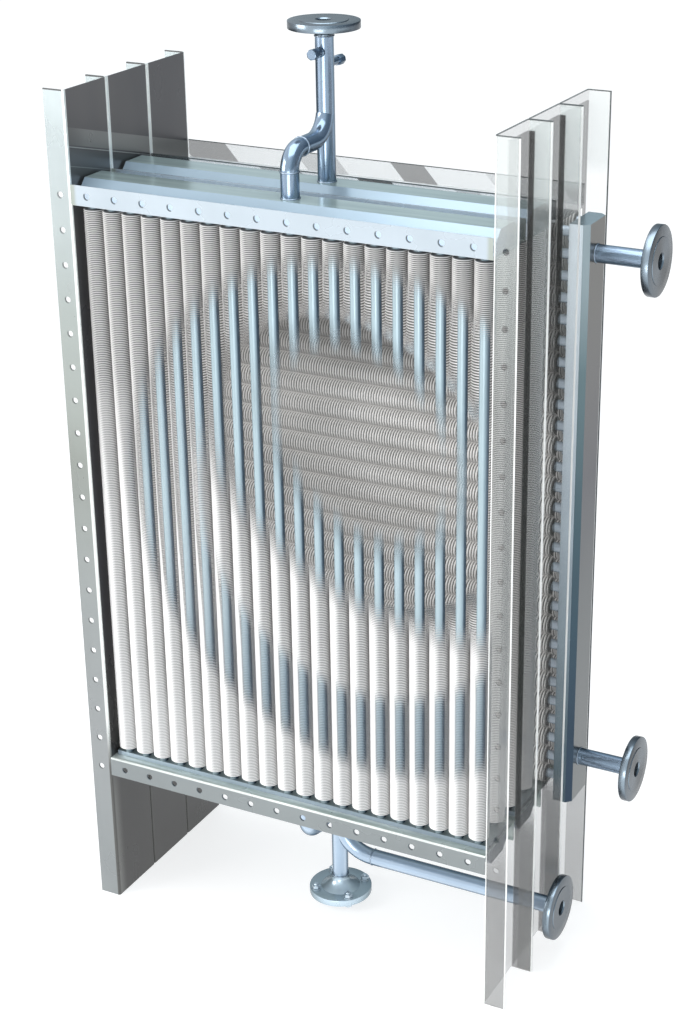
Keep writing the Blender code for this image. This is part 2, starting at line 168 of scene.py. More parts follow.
def object_coords(nt):
    return nt.nodes.new("ShaderNodeTexCoord").outputs["Object"]


def split(nt, vec):
    n = nt.nodes.new("ShaderNodeSeparateXYZ")
    nt.links.new(vec, n.inputs[0])
    return n.outputs


def dot(nt, vec, fixed, offset):
    n = nt.nodes.new("ShaderNodeVectorMath")
    n.operation = "DOT_PRODUCT"
    nt.links.new(vec, n.inputs[0])
    n.inputs[1].default_value = fixed
    return math_node(nt, "ADD", n.outputs["Value"], offset)


def smooth_node(nt, value, a, b, low=0.0, high=1.0):
    n = nt.nodes.new("ShaderNodeMapRange")
    n.interpolation_type = "SMOOTHSTEP"
    nt.links.new(value, n.inputs["Value"])
    n.inputs["From Min"].default_value = a
    n.inputs["From Max"].default_value = b
    n.inputs["To Min"].default_value = low
    n.inputs["To Max"].default_value = high
    return n.outputs["Result"]


def oval_node(nt, vec, o):
    (v1, o1), (v2, o2) = oval_vectors(o)
    a, b = dot(nt, vec, v1, o1), dot(nt, vec, v2, o2)
    return math_node(nt, "SQRT", math_node(nt, "ADD", math_node(nt, "MULTIPLY", a, a), math_node(nt, "MULTIPLY", b, b)))


def noise(nt, vec, scale, detail=3.0, stretch=None, rough=0.5):
    if stretch:
        mp = nt.nodes.new("ShaderNodeMapping")
        mp.inputs["Scale"].default_value = stretch
        nt.links.new(vec, mp.inputs["Vector"])
        vec = mp.outputs[0]
    n = nt.nodes.new("ShaderNodeTexNoise")
    n.inputs["Scale"].default_value = scale
    n.inputs["Detail"].default_value = detail
    n.inputs["Roughness"].default_value = rough
    nt.links.new(vec, n.inputs["Vector"])
    return n.outputs["Fac"]


def ramp(nt, value, stops):
    n = nt.nodes.new("ShaderNodeValToRGB")
    els = n.color_ramp.elements
    while len(els) < len(stops):
        els.new(0.5)
    for e, (p, c) in zip(els, stops):
        e.position = p
        e.color = (*c, 1.0)
    nt.links.new(value, n.inputs[0])
    return n.outputs["Color"]


def mix(nt, fac, a, b, kind="MIX"):
    n = nt.nodes.new("ShaderNodeMix")
    n.data_type = "RGBA"
    n.blend_type = kind
    for i, v in ((0, fac), (6, a), (7, b)):
        if isinstance(v, (int, float)):
            n.inputs[i].default_value = v
        elif isinstance(v, tuple):
            n.inputs[i].default_value = (*v, 1.0)
        else:
            nt.links.new(v, n.inputs[i])
    return n.outputs[2]


def bump(nt, sh, height, strength, distance):
    n = nt.nodes.new("ShaderNodeBump")
    n.inputs["Strength"].default_value = strength
    n.inputs["Distance"].default_value = distance
    nt.links.new(height, n.inputs["Height"])
    nt.links.new(n.outputs[0], sh.inputs["Normal"])


def brushed(name, low, high, metallic, rough, stretch, grain=60.0, bump_mm=0.05, depth=0.35):
    """Metal with a fine drawn grain, cloudy colour and rubbed roughness."""
    m, nt, sh = new_material(name)
    vec = object_coords(nt)
    cloud = noise(nt, vec, 3.5, 4.0)
    fine = noise(nt, vec, grain, 2.0, stretch)
    tone = math_node(nt, "ADD", math_node(nt, "MULTIPLY", cloud, 0.75), math_node(nt, "MULTIPLY", fine, 0.25))
    colour = ramp(nt, tone, ((0.30, low), (0.70, high)))
    sh.inputs["Metallic"].default_value = metallic
    nt.links.new(colour, sh.inputs["Base Color"])
    nt.links.new(smooth_node(nt, tone, 0.25, 0.75, rough[0], rough[1]), sh.inputs["Roughness"])
    bump(nt, sh, fine, depth, bump_mm / 1000)
    return m, nt, sh, vec, colour


def facing(nt, direction):
    """Cosine between the surface's own direction in the object and a fixed one."""
    n = nt.nodes.new("ShaderNodeTexCoord").outputs["Normal"]
    return dot(nt, n, tuple(Vector(direction).normalized()), 0.0)


def lit(nt, direction, a, b, low, high):
    """A tone that follows the surface's own direction in the object."""
    return smooth_node(nt, facing(nt, direction), a, b, low, high)


def grey(nt, value, stops):
    """A plain number read off a curve of (position, value)."""
    return ramp(nt, value, tuple((p, (v, v, v)) for p, v in stops))


def inside(nt, value, low, high, soft):
    """One between low and high, zero outside."""
    return math_node(nt, "MULTIPLY", smooth_node(nt, value, low - soft, low + soft), smooth_node(nt, value, high - soft, high + soft, 1.0, 0.0))


def hole_walls(nt, depth, at, middle):
    """The cut walls of the bolt holes in a front flange."""
    wall = smooth_node(nt, math_node(nt, "ABSOLUTE", facing(nt, (0, 1, 0))), 0.3, 0.6, 1.0, 0.0)
    near = inside(nt, at, middle - 0.0108, middle + 0.0108, 0.0003)
    front = smooth_node(nt, depth, 0.0032, 0.0036, 1.0, 0.0)
    return math_node(nt, "MULTIPLY", wall, math_node(nt, "MULTIPLY", near, front))


def crescents(nt, u, v, strength):
    """The shaded lower left rim of round holes, u and v from a hole's middle."""
    far = math_node(nt, "SQRT", math_node(nt, "ADD", math_node(nt, "MULTIPLY", u, u), math_node(nt, "MULTIPLY", v, v)))
    ring = inside(nt, far, 0.0092, 0.0128, 0.0006)
    way = math_node(nt, "DIVIDE", math_node(nt, "ADD", math_node(nt, "MULTIPLY", u, -0.86), math_node(nt, "MULTIPLY", v, -0.50)), far)
    return math_node(nt, "MULTIPLY", math_node(nt, "MULTIPLY", ring, smooth_node(nt, way, 0.05, 0.45)), strength)


def nearest(nt, value, start, pitch):
    """Distance from the nearest of evenly spaced places."""
    turn = math_node(nt, "FRACT", math_node(nt, "DIVIDE", math_node(nt, "ADD", value, pitch / 2 - start), pitch))
    return math_node(nt, "MULTIPLY", math_node(nt, "SUBTRACT", turn, 0.5), pitch)


def times(nt, colour, factor):
    n = nt.nodes.new("ShaderNodeVectorMath")
    n.operation = "SCALE"
    nt.links.new(colour, n.inputs[0])
    nt.links.new(factor, n.inputs["Scale"])
    return n.outputs[0]


# casing sheet: left channels, strips
LEFT, nt, sh, vec, colour = brushed("casing_left", (0.86, 0.86, 0.86), (1.0, 1.0, 1.0), 0.50, (0.26, 0.32), (3, 3, 0.4), 5.0, 0.0, 0.0)
x, y, z = split(nt, vec)
depth = math_node(nt, "ADD", y, -OY)
across = math_node(nt, "ADD", x, -OX)
height = smooth_node(nt, z, 0.0, 2.87)
# painted reflection: the flange faces are lighter toward the top and darker toward the floor
pale = ramp(nt, height, ((0.0, (0.30, 0.32, 0.325)), (0.12, (0.33, 0.345, 0.35)), (0.35, (0.31, 0.33, 0.33)), (0.62, (0.31, 0.33, 0.305)), (0.85, (0.44, 0.48, 0.46)), (1.0, (0.54, 0.60, 0.61))))
# painted shade and dark reflection: the inner face of the web is painted near black, varied by height and by a sheen
# noise
inner = smooth_node(nt, across, -HALF_W - 0.0036, -HALF_W - 0.0026)
sheen = noise(nt, vec, 2.2, 2.0, (1, 1, 0.5))
dark = ramp(nt, math_node(nt, "ADD", math_node(nt, "MULTIPLY", height, 0.7), math_node(nt, "MULTIPLY", sheen, 0.4)), ((0.12, (0.098, 0.096, 0.094)), (0.30, (0.072, 0.071, 0.070)), (0.50, (0.065, 0.065, 0.072)), (0.9, (0.085, 0.085, 0.090)), (1.0, (0.12, 0.115, 0.115))))
# painted highlight streaks run up the web near its front edge, and painted reflections cross it at the top as pale
# bands and lines over a darker band
painted_streaks = math_node(nt, "MULTIPLY", smooth_node(nt, depth, 0.0, 0.055, 1.0, 0.0), smooth_node(nt, z, 0.35, 0.62, 0.55, 0.0))
dark = mix(nt, painted_streaks, dark, (0.30, 0.30, 0.285))
level = math_node(nt, "ADD", z, math_node(nt, "MULTIPLY", depth, 0.268))
band = math_node(nt, "MULTIPLY", smooth_node(nt, level, 2.700, 2.704), smooth_node(nt, level, 2.755, 2.7565, 1.0, 0.0))
dark = mix(nt, math_node(nt, "MULTIPLY", band, smooth_node(nt, depth, 0.02, 0.12, 0.35, 0.85)), dark, (0.21, 0.215, 0.21))
lines = math_node(nt, "MAXIMUM", inside(nt, level, 2.6945, 2.6975, 0.0008), inside(nt, level, 2.6345, 2.6370, 0.0008))
dark = mix(nt, math_node(nt, "MULTIPLY", lines, 0.55), dark, (0.55, 0.57, 0.56))
under = math_node(nt, "MULTIPLY", inside(nt, level, 2.575, 2.690, 0.004), 0.45)
dark = mix(nt, under, dark, (0.12, 0.13, 0.13))
tone = mix(nt, inner, mix(nt, 1.0, colour, pale, "MULTIPLY"), dark)
# painted highlight: white lines on the flange bends at the module joints, dark toward the floor
turn = math_node(nt, "PINGPONG", depth, MODULE_D / 2)
bend = math_node(nt, "MULTIPLY", smooth_node(nt, turn, 0.0065, 0.0105, 1.0, 0.0), smooth_node(nt, across, -HALF_W - 0.010, -HALF_W - 0.006))
tone = mix(nt, bend, tone, mix(nt, smooth_node(nt, z, 0.50, 0.75), (0.11, 0.11, 0.105), (0.84, 0.87, 0.85)))
rim = math_node(nt, "MULTIPLY", smooth_node(nt, z, CHANNEL_H - 0.0050, CHANNEL_H - 0.0035), smooth_node(nt, across, -HALF_W - 0.008, -HALF_W - 0.006, 1.0, 0.0))
tone = mix(nt, rim, tone, (0.10, 0.10, 0.10))
# painted shade on the lower left rims and on the cut walls of the bolt holes
u = math_node(nt, "ADD", across, HALF_W + FLANGE_W / 2)
v = nearest(nt, z, 2.5436, 0.1123)
rims = math_node(nt, "MULTIPLY", crescents(nt, u, v, 0.55), smooth_node(nt, depth, 0.0008, 0.0012, 1.0, 0.0))
rims = math_node(nt, "MULTIPLY", rims, inside(nt, z, 0.49, 2.58, 0.003))
tone = mix(nt, rims, tone, (0.07, 0.075, 0.075))
tone = mix(nt, hole_walls(nt, depth, across, -HALF_W - FLANGE_W / 2), tone, (0.05, 0.055, 0.05))
nt.links.new(tone, sh.inputs["Base Color"])

STRIP, nt, sh, vec, colour = brushed("casing_strip", (0.88, 0.88, 0.88), (1.0, 1.0, 1.0), 0.40, (0.24, 0.30), (0.4, 3, 3), 5.0, 0.0, 0.0)
x, y, z = split(nt, vec)
depth = math_node(nt, "ADD", y, -OY)
up = smooth_node(nt, z, 1.2, 1.8)
ends = smooth_node(nt, math_node(nt, "ABSOLUTE", math_node(nt, "ADD", x, -OX)), 0.685, 0.70)
top_tone = mix(nt, ends, (0.56, 0.63, 0.69), (0.44, 0.48, 0.44))
# the faces behind the strip's front face carry painted highlight streaks, and a painted white highlight line runs along
# the lower strip's top edge
flat = smooth_node(nt, depth, 0.0030, 0.0045)
gleam = noise(nt, vec, 5.0, 2.0, (0.4, 6, 6))
flat_tone = mix(nt, smooth_node(nt, gleam, 0.35, 0.65), (0.36, 0.43, 0.40), (0.62, 0.68, 0.66))
low_tone = mix(nt, flat, (0.27, 0.295, 0.30), flat_tone)
rim = math_node(nt, "MULTIPLY", smooth_node(nt, z, 0.5565, 0.5600), smooth_node(nt, depth, 0.0050, 0.0070, 1.0, 0.0))
low_tone = mix(nt, rim, low_tone, (0.90, 0.95, 0.92))
tone = mix(nt, 1.0, colour, mix(nt, up, low_tone, top_tone), "MULTIPLY")
# painted shade on the lower left rims and on the cut walls of the bolt holes
u = nearest(nt, math_node(nt, "ADD", x, -OX), 0.05, 0.100)
v = math_node(nt, "ADD", z, math_node(nt, "MULTIPLY", smooth_node(nt, z, 1.2, 1.8, STRIP_HOLE_Z[1], STRIP_HOLE_Z[0]), -1.0))
rims = math_node(nt, "MULTIPLY", crescents(nt, u, v, 0.85), smooth_node(nt, depth, 0.0008, 0.0012, 1.0, 0.0))
tone = mix(nt, rims, tone, (0.055, 0.070, 0.085))
tone = mix(nt, hole_walls(nt, depth, z, STRIP_HOLE_Z[0]), tone, (0.035, 0.045, 0.055))
tone = mix(nt, hole_walls(nt, depth, z, STRIP_HOLE_Z[1]), tone, (0.035, 0.045, 0.055))
nt.links.new(tone, sh.inputs["Base Color"])


# clear right channels and clear top plates
def clear_sheet(name, kind):
    m, nt, sh = new_material(name)
    vec = object_coords(nt)
    x, y, z = split(nt, vec)
    cloud = noise(nt, vec, 2.2, 3.0)
    depth = math_node(nt, "ADD", y, -OY)
    sh.inputs["Metallic"].default_value = 0.10
    nt.links.new(smooth_node(nt, cloud, 0.3, 0.7, 0.10, 0.20), sh.inputs["Roughness"])
    if kind == "channel":
        across = math_node(nt, "ADD", x, -OX)
        height = smooth_node(nt, math_node(nt, "ADD", z, math_node(nt, "MULTIPLY", cloud, 0.10)), 0.0, 2.95)
        turn = math_node(nt, "PINGPONG", depth, MODULE_D / 2)
        part = math_node(nt, "FRACT", math_node(nt, "DIVIDE", depth, MODULE_D))
        web = smooth_node(nt, across, HALF_W + 0.0045, HALF_W + 0.0065, 1.0, 0.0)
        at_flange = smooth_node(nt, turn, 0.0035, 0.0065, 1.0, 0.0)
        edge = smooth_node(nt, across, HALF_W + FLANGE_W - 0.0048, HALF_W + FLANGE_W - 0.0034)
        last = smooth_node(nt, depth, 3 * MODULE_D - 0.012, 3 * MODULE_D - 0.009)
        first = smooth_node(nt, depth, 0.08, 0.10, 1.0, 0.0)
        third = smooth_node(nt, depth, 2 * MODULE_D - 0.03, 2 * MODULE_D - 0.02)
        # pale flange faces, darker toward the floor
        face = ramp(nt, height, ((0.0, (0.24, 0.24, 0.235)), (0.10, (0.22, 0.22, 0.22)), (0.20, (0.40, 0.42, 0.42)), (0.80, (0.50, 0.53, 0.52)), (0.92, (0.82, 0.88, 0.85)), (1.0, (0.88, 0.93, 0.91))))
        face_body = grey(nt, height, ((0.0, 0.40), (0.09, 0.34), (0.14, 0.15), (0.80, 0.12), (0.93, 0.13), (1.0, 0.24)))
        skin = ramp(nt, height, ((0.0, (0.12, 0.12, 0.115)), (0.12, (0.10, 0.10, 0.10)), (0.85, (0.12, 0.125, 0.12)), (1.0, (0.42, 0.42, 0.41))))
        skin_body = grey(nt, height, ((0.0, 0.24), (0.09, 0.22), (0.15, 0.06), (0.85, 0.07), (1.0, 0.20)))
        thin = math_node(nt, "MULTIPLY", math_node(nt, "SUBTRACT", 1.0, first), math_node(nt, "MULTIPLY", smooth_node(nt, height, 0.10, 0.14), smooth_node(nt, z, 2.60, 2.66, 1.0, 0.0)))
        face_body = times(nt, face_body, math_node(nt, "SUBTRACT", 1.0, math_node(nt, "MULTIPLY", thin, 0.72)))
        base = mix(nt, web, face, skin)
        body = mix(nt, web, face_body, skin_body)
        # the shade that each flange leaves beside it
        streak = noise(nt, vec, 9.0, 2.0, (1, 3, 0.05))
        below = smooth_node(nt, z, CHANNEL_H - 0.0345, CHANNEL_H - 0.0325, 1.0, 0.0)
        on_web = math_node(nt, "MULTIPLY", web, smooth_node(nt, part, 0.66, 0.72))
        on_face = math_node(nt, "MULTIPLY", inside(nt, across, HALF_W, HALF_W + 0.0228, 0.0006), math_node(nt, "MULTIPLY", math_node(nt, "SUBTRACT", 1.0, first), math_node(nt, "SUBTRACT", 1.0, last)))
        on_face = math_node(nt, "MULTIPLY", on_face, math_node(nt, "SUBTRACT", 1.0, on_web, clamp=True))
        shade = math_node(nt, "MULTIPLY", below, math_node(nt, "MAXIMUM", on_web, on_face))
        dark = ramp(nt, math_node(nt, "ADD", math_node(nt, "MULTIPLY", height, 0.7), math_node(nt, "MULTIPLY", streak, 0.3)), ((0.1, (0.16, 0.155, 0.16)), (0.4, (0.055, 0.060, 0.055)), (0.75, (0.060, 0.062, 0.060)), (1.0, (0.13, 0.12, 0.115))))
        base = mix(nt, shade, base, dark)
        web_shade = grey(nt, height, ((0.0, 0.20), (0.15, 0.14), (0.80, 0.16), (0.95, 0.42), (1.0, 0.46)))
        face_shade = mix(nt, third, (0.50, 0.50, 0.50), (0.22, 0.22, 0.22))
        face_shade = mix(nt, smooth_node(nt, height, 0.84, 0.95), face_shade, (0.46, 0.46, 0.46))
        face_shade = mix(nt, smooth_node(nt, height, 0.08, 0.16, 1.0, 0.0), face_shade, (0.26, 0.26, 0.26))
        body = mix(nt, shade, body, mix(nt, on_face, web_shade, face_shade))
        # edge and bend lines, painted as white highlights
        root = math_node(nt, "MULTIPLY", web, at_flange)
        root = math_node(nt, "MULTIPLY", root, math_node(nt, "MAXIMUM", first, 0.10))
        line = math_node(nt, "MAXIMUM", edge, root)
        base = mix(nt, line, base, (0.95, 0.96, 0.94))
        rim = smooth_node(nt, z, CHANNEL_H - 0.0042, CHANNEL_H - 0.0030)
        outer_line = math_node(nt, "MULTIPLY", edge, last)
        base = mix(nt, math_node(nt, "MAXIMUM", rim, outer_line), base, (0.12, 0.13, 0.13))
        # painted shade on the cut walls of the bolt holes
        walls = hole_walls(nt, depth, across, HALF_W + FLANGE_W / 2)
        base = mix(nt, walls, base, (0.10, 0.11, 0.10))
        alpha = math_node(nt, "MAXIMUM", body, math_node(nt, "MULTIPLY", line, 0.90))
        alpha = math_node(nt, "MAXIMUM", alpha, math_node(nt, "MULTIPLY", rim, 0.80))
        alpha = math_node(nt, "MAXIMUM", alpha, math_node(nt, "MULTIPLY", walls, 0.75))
    else:
        across = math_node(nt, "ADD", x, -OX)
        patch = ramp(nt, smooth_node(nt, across, -0.8, 0.8), ((0.0, (0.3,) * 3), (0.5, (0.3,) * 3)))
        pos = nt.nodes.new("ShaderNodeMapRange")
        nt.links.new(math_node(nt, "ADD", across, math_node(nt, "MULTIPLY", math_node(nt, "ADD", z, -2.55), 0.9)), pos.inputs["Value"])
        pos.inputs["From Min"].default_value = -0.8
        pos.inputs["From Max"].default_value = 0.8
        pick = nt.nodes.new("ShaderNodeValToRGB")
        pick.color_ramp.interpolation = "CONSTANT"
        stops = ((0.0, 0.35), (0.045, 1.0), (0.159, 0.0), (0.322, 0.55), (0.417, 0.0), (0.541, 1.0), (0.616, 0.0), (0.75, 0.35), (0.80, 0.0), (0.90, 0.6))
        els = pick.color_ramp.elements
        while len(els) < len(stops):
            els.new(0.5)
        for e, (p, v) in zip(els, stops):
            e.position = p
            e.color = (v, v, v, 1.0)
        nt.links.new(pos.outputs["Result"], pick.inputs[0])
        patch = pick.outputs["Color"]
        upstand = smooth_node(nt, z, 2.516, 2.519)
        base = mix(nt, patch, (0.82, 0.88, 0.90), (0.10, 0.11, 0.11))
        top = smooth_node(nt, z, 2.5755, 2.5770)
        low = smooth_node(nt, z, 2.5195, 2.5225, 1.0, 0.0)
        # painted highlight along the bends of the upstand at the module joints
        edge_y = smooth_node(nt, math_node(nt, "PINGPONG", depth, MODULE_D / 2), 0.0075, 0.0095, 1.0, 0.0)
        bend = math_node(nt, "MULTIPLY", low, edge_y)
        base = mix(nt, bend, base, (0.95, 0.97, 0.97))
        base = mix(nt, top, base, (0.10, 0.11, 0.11))
        body = mix(nt, patch, (0.22, 0.22, 0.22), (0.46, 0.46, 0.46))
        alpha = mix(nt, upstand, (0.07, 0.07, 0.07), body)
        alpha = math_node(nt, "MAXIMUM", alpha, math_node(nt, "MULTIPLY", math_node(nt, "MAXIMUM", bend, top), 0.85))
    nt.links.new(base, sh.inputs["Base Color"])
    nt.links.new(alpha, sh.inputs["Alpha"])
    bump(nt, sh, cloud, 0.1, 0.0005)
    return m


CLEAR = clear_sheet("casing_clear", "channel")
CLEAR_TOP = clear_sheet("casing_clear_top", "plate")

# flat headers: each face toned by its direction as painted light, pale blue at the bevel and greenish on top with
# painted highlight streaks, paler front faces and darker ends
HEADER, nt, sh, vec, colour = brushed("header_steel", (0.90, 0.90, 0.90), (1.0, 1.0, 1.0), 0.45, (0.18, 0.26), (0.4, 3, 3), 6.0, 0.02, 0.05)
x, y, z = split(nt, vec)
depth = math_node(nt, "ADD", y, -OY)
flat = lit(nt, (0, 0, 1), 0.80, 0.98, 0.0, 1.0)
front = lit(nt, (0, -1, 0), 0.90, 0.99, 0.0, 1.0)
end = lit(nt, (1, 0, 0), 0.80, 0.98, 0.0, 1.0)
gleam = noise(nt, vec, 3.0, 2.0, (0.5, 8, 8))
tone = mix(nt, flat, (0.38, 0.49, 0.58), mix(nt, smooth_node(nt, gleam, 0.3, 0.7), (0.34, 0.43, 0.43), (0.44, 0.54, 0.53)))
tone = mix(nt, front, tone, (0.52, 0.60, 0.68))
tone = mix(nt, end, tone, mix(nt, smooth_node(nt, depth, 0.20, 0.24), (0.27, 0.31, 0.39), (0.14, 0.18, 0.18)))
# painted shade: the lower headers are darker
low_part = smooth_node(nt, z, 1.0, 2.0, 1.0, 0.0)
tone = mix(nt, math_node(nt, "MULTIPLY", low_part, 0.45), tone, (0.10, 0.15, 0.20))
tone = mix(nt, 1.0, tone, colour, "MULTIPLY")
nt.links.new(tone, sh.inputs["Base Color"])
# painted glow on the front faces, stronger toward the top
glow = times(nt, tone, math_node(nt, "MULTIPLY", front, smooth_node(nt, z, 1.0, 2.0, 0.15, 1.1)))
nt.links.new(glow, sh.inputs["Emission Color"])
sh.inputs["Emission Strength"].default_value = 1.0

# side headers: painted light, each face toned by its direction and by height, the front faces paler toward the top with
# a painted glow
HEADER_SIDE, nt, sh, vec, colour = brushed("header_side_steel", (0.87, 0.87, 0.87), (1.0, 1.0, 1.0), 0.70, (0.18, 0.26), (3, 3, 0.4), 6.0, 0.02, 0.05)
x, y, z = split(nt, vec)
height = smooth_node(nt, z, 0.45, 2.55)
front_tone = ramp(nt, height, ((0.0, (0.11, 0.16, 0.19)), (0.25, (0.26, 0.33, 0.38)), (0.60, (0.50, 0.58, 0.65)), (1.0, (0.72, 0.80, 0.86))))
outer_tone = ramp(nt, height, ((0.0, (0.13, 0.14, 0.14)), (0.35, (0.085, 0.095, 0.10)), (0.62, (0.055, 0.055, 0.070)), (1.0, (0.13, 0.125, 0.115))))
bevel_tone = ramp(nt, height, ((0.0, (0.035, 0.060, 0.095)), (0.5, (0.070, 0.12, 0.145)), (0.85, (0.15, 0.22, 0.24)), (1.0, (0.36, 0.44, 0.47))))
side_face = lit(nt, (1, 0, 0), 0.80, 0.98, 0.0, 1.0)
front = lit(nt, (0, -1, 0), 0.80, 0.98, 0.0, 1.0)
tone = mix(nt, front, mix(nt, side_face, bevel_tone, outer_tone), front_tone)
tone = mix(nt, lit(nt, (0, 0, 1), 0.8, 0.98, 0.0, 1.0), tone, (0.40, 0.50, 0.54))
tone = mix(nt, lit(nt, (0, 1, 0), 0.8, 0.98, 0.0, 1.0), tone, (0.34, 0.40, 0.44))
tone = mix(nt, lit(nt, (-1, 0, 0), 0.8, 0.98, 0.0, 1.0), tone, (0.26, 0.29, 0.31))
tone = mix(nt, 1.0, tone, colour, "MULTIPLY")
nt.links.new(tone, sh.inputs["Base Color"])
nt.links.new(times(nt, tone, math_node(nt, "MULTIPLY", front, 0.45)), sh.inputs["Emission Color"])
sh.inputs["Emission Strength"].default_value = 1.0

# pipes and flanges
# the direction back toward the camera, from which pipes, flanges, welds and bolts are painted lit
VIEW = (0.41, -0.82, 0.40)


def polished_painted_light(name, stops, metallic, rough, grain=14.0, bump_mm=0.02, direction=VIEW, glow=0.0, fans=()):
    m, nt, sh, vec, colour = brushed(name, (0.86, 0.86, 0.86), (1.0, 1.0, 1.0), metallic, rough, (1, 1, 1.5), grain, bump_mm, 0.12)
    # painted light from VIEW: faces turned toward it are painted paler; the far side is as bright as the near one, so
    # that it reads well from behind
    toward = facing(nt, direction)
    toward = math_node(nt, "MAXIMUM", toward, math_node(nt, "MULTIPLY", toward, -0.85))
    tone = ramp(nt, smooth_node(nt, toward, -0.2, 1.0), stops)
    # painted reflection fans on the flat flange faces, as turned metal shows them
    if fans:
        px_, py_, pz_ = split(nt, vec)
        for low, high, z0 in fans:
            turn = math_node(nt, "ARCTAN2", math_node(nt, "ADD", pz_, -z0), math_node(nt, "ADD", py_, -OY - (low if low else 0.0)))
            wave = math_node(nt, "COSINE", math_node(nt, "ADD", math_node(nt, "MULTIPLY", turn, 2.0), high))
            here = inside(nt, pz_, z0 - 0.115, z0 + 0.115, 0.002)
            flat_face = smooth_node(nt, facing(nt, (1, 0, 0)), 0.50, 0.80)
            level = math_node(nt, "ADD", math_node(nt, "MULTIPLY", wave, 0.42), 0.80)
            amount = math_node(nt, "MULTIPLY", here, flat_face)
            scale = math_node(nt, "ADD", math_node(nt, "MULTIPLY", amount, math_node(nt, "SUBTRACT", level, 1.0)), 1.0)
            tone = times(nt, tone, scale)
    tone = mix(nt, 1.0, tone, colour, "MULTIPLY")
    nt.links.new(tone, sh.inputs["Base Color"])
    # painted glow
    if glow:
        nt.links.new(tone, sh.inputs["Emission Color"])
        sh.inputs["Emission Strength"].default_value = glow
    return m


PIPE = polished_painted_light("pipe_steel", ((0.0, (0.03, 0.06, 0.09)), (0.35, (0.07, 0.12, 0.18)), (0.62, (0.20, 0.29, 0.39)), (0.82, (0.38, 0.48, 0.62)), (1.0, (0.31, 0.41, 0.53))), 0.85, (0.14, 0.24))
# under the unit the lower pipes and the bottom flange get paler tones and a painted glow that lifts their shade
PIPE_LOW = polished_painted_light("pipe_steel_low", ((0.0, (0.03, 0.05, 0.08)), (0.40, (0.06, 0.10, 0.15)), (0.66, (0.22, 0.31, 0.40)), (0.84, (0.60, 0.72, 0.86)), (1.0, (0.44, 0.56, 0.70))), 0.70, (0.14, 0.24), glow=0.12)
FLANGE = polished_painted_light("flange_steel", ((0.0, (0.03, 0.045, 0.06)), (0.30, (0.055, 0.07, 0.085)), (0.55, (0.09, 0.11, 0.13)), (0.78, (0.16, 0.195, 0.23)), (1.0, (0.34, 0.42, 0.49))), 0.85, (0.18, 0.30), 30, fans=((2 * MODULE_D + ROW_Y[1], -1.3, 2.400), (2 * MODULE_D + ROW_Y[1], -1.3, 0.656)))
FLANGE_LOW = polished_painted_light("flange_steel_low", ((0.0, (0.08, 0.11, 0.13)), (0.30, (0.14, 0.19, 0.22)), (0.55, (0.22, 0.29, 0.33)), (0.78, (0.36, 0.45, 0.51)), (1.0, (0.55, 0.67, 0.76))), 0.60, (0.20, 0.32), 30, glow=0.32, fans=((MODULE_D + ROW_Y[1], -1.3, 0.200),))
WELD = polished_painted_light("weld_bead", ((0.0, (0.08, 0.11, 0.14)), (0.5, (0.20, 0.26, 0.32)), (1.0, (0.46, 0.55, 0.66))), 0.85, (0.28, 0.42), 260, 0.4)
# painted glow on the bolts under the unit
BOLT = polished_painted_light("bolt_steel", ((0.0, (0.16, 0.20, 0.24)), (0.5, (0.36, 0.44, 0.50)), (1.0, (0.66, 0.76, 0.84))), 0.70, (0.18, 0.32), 180, glow=0.15)


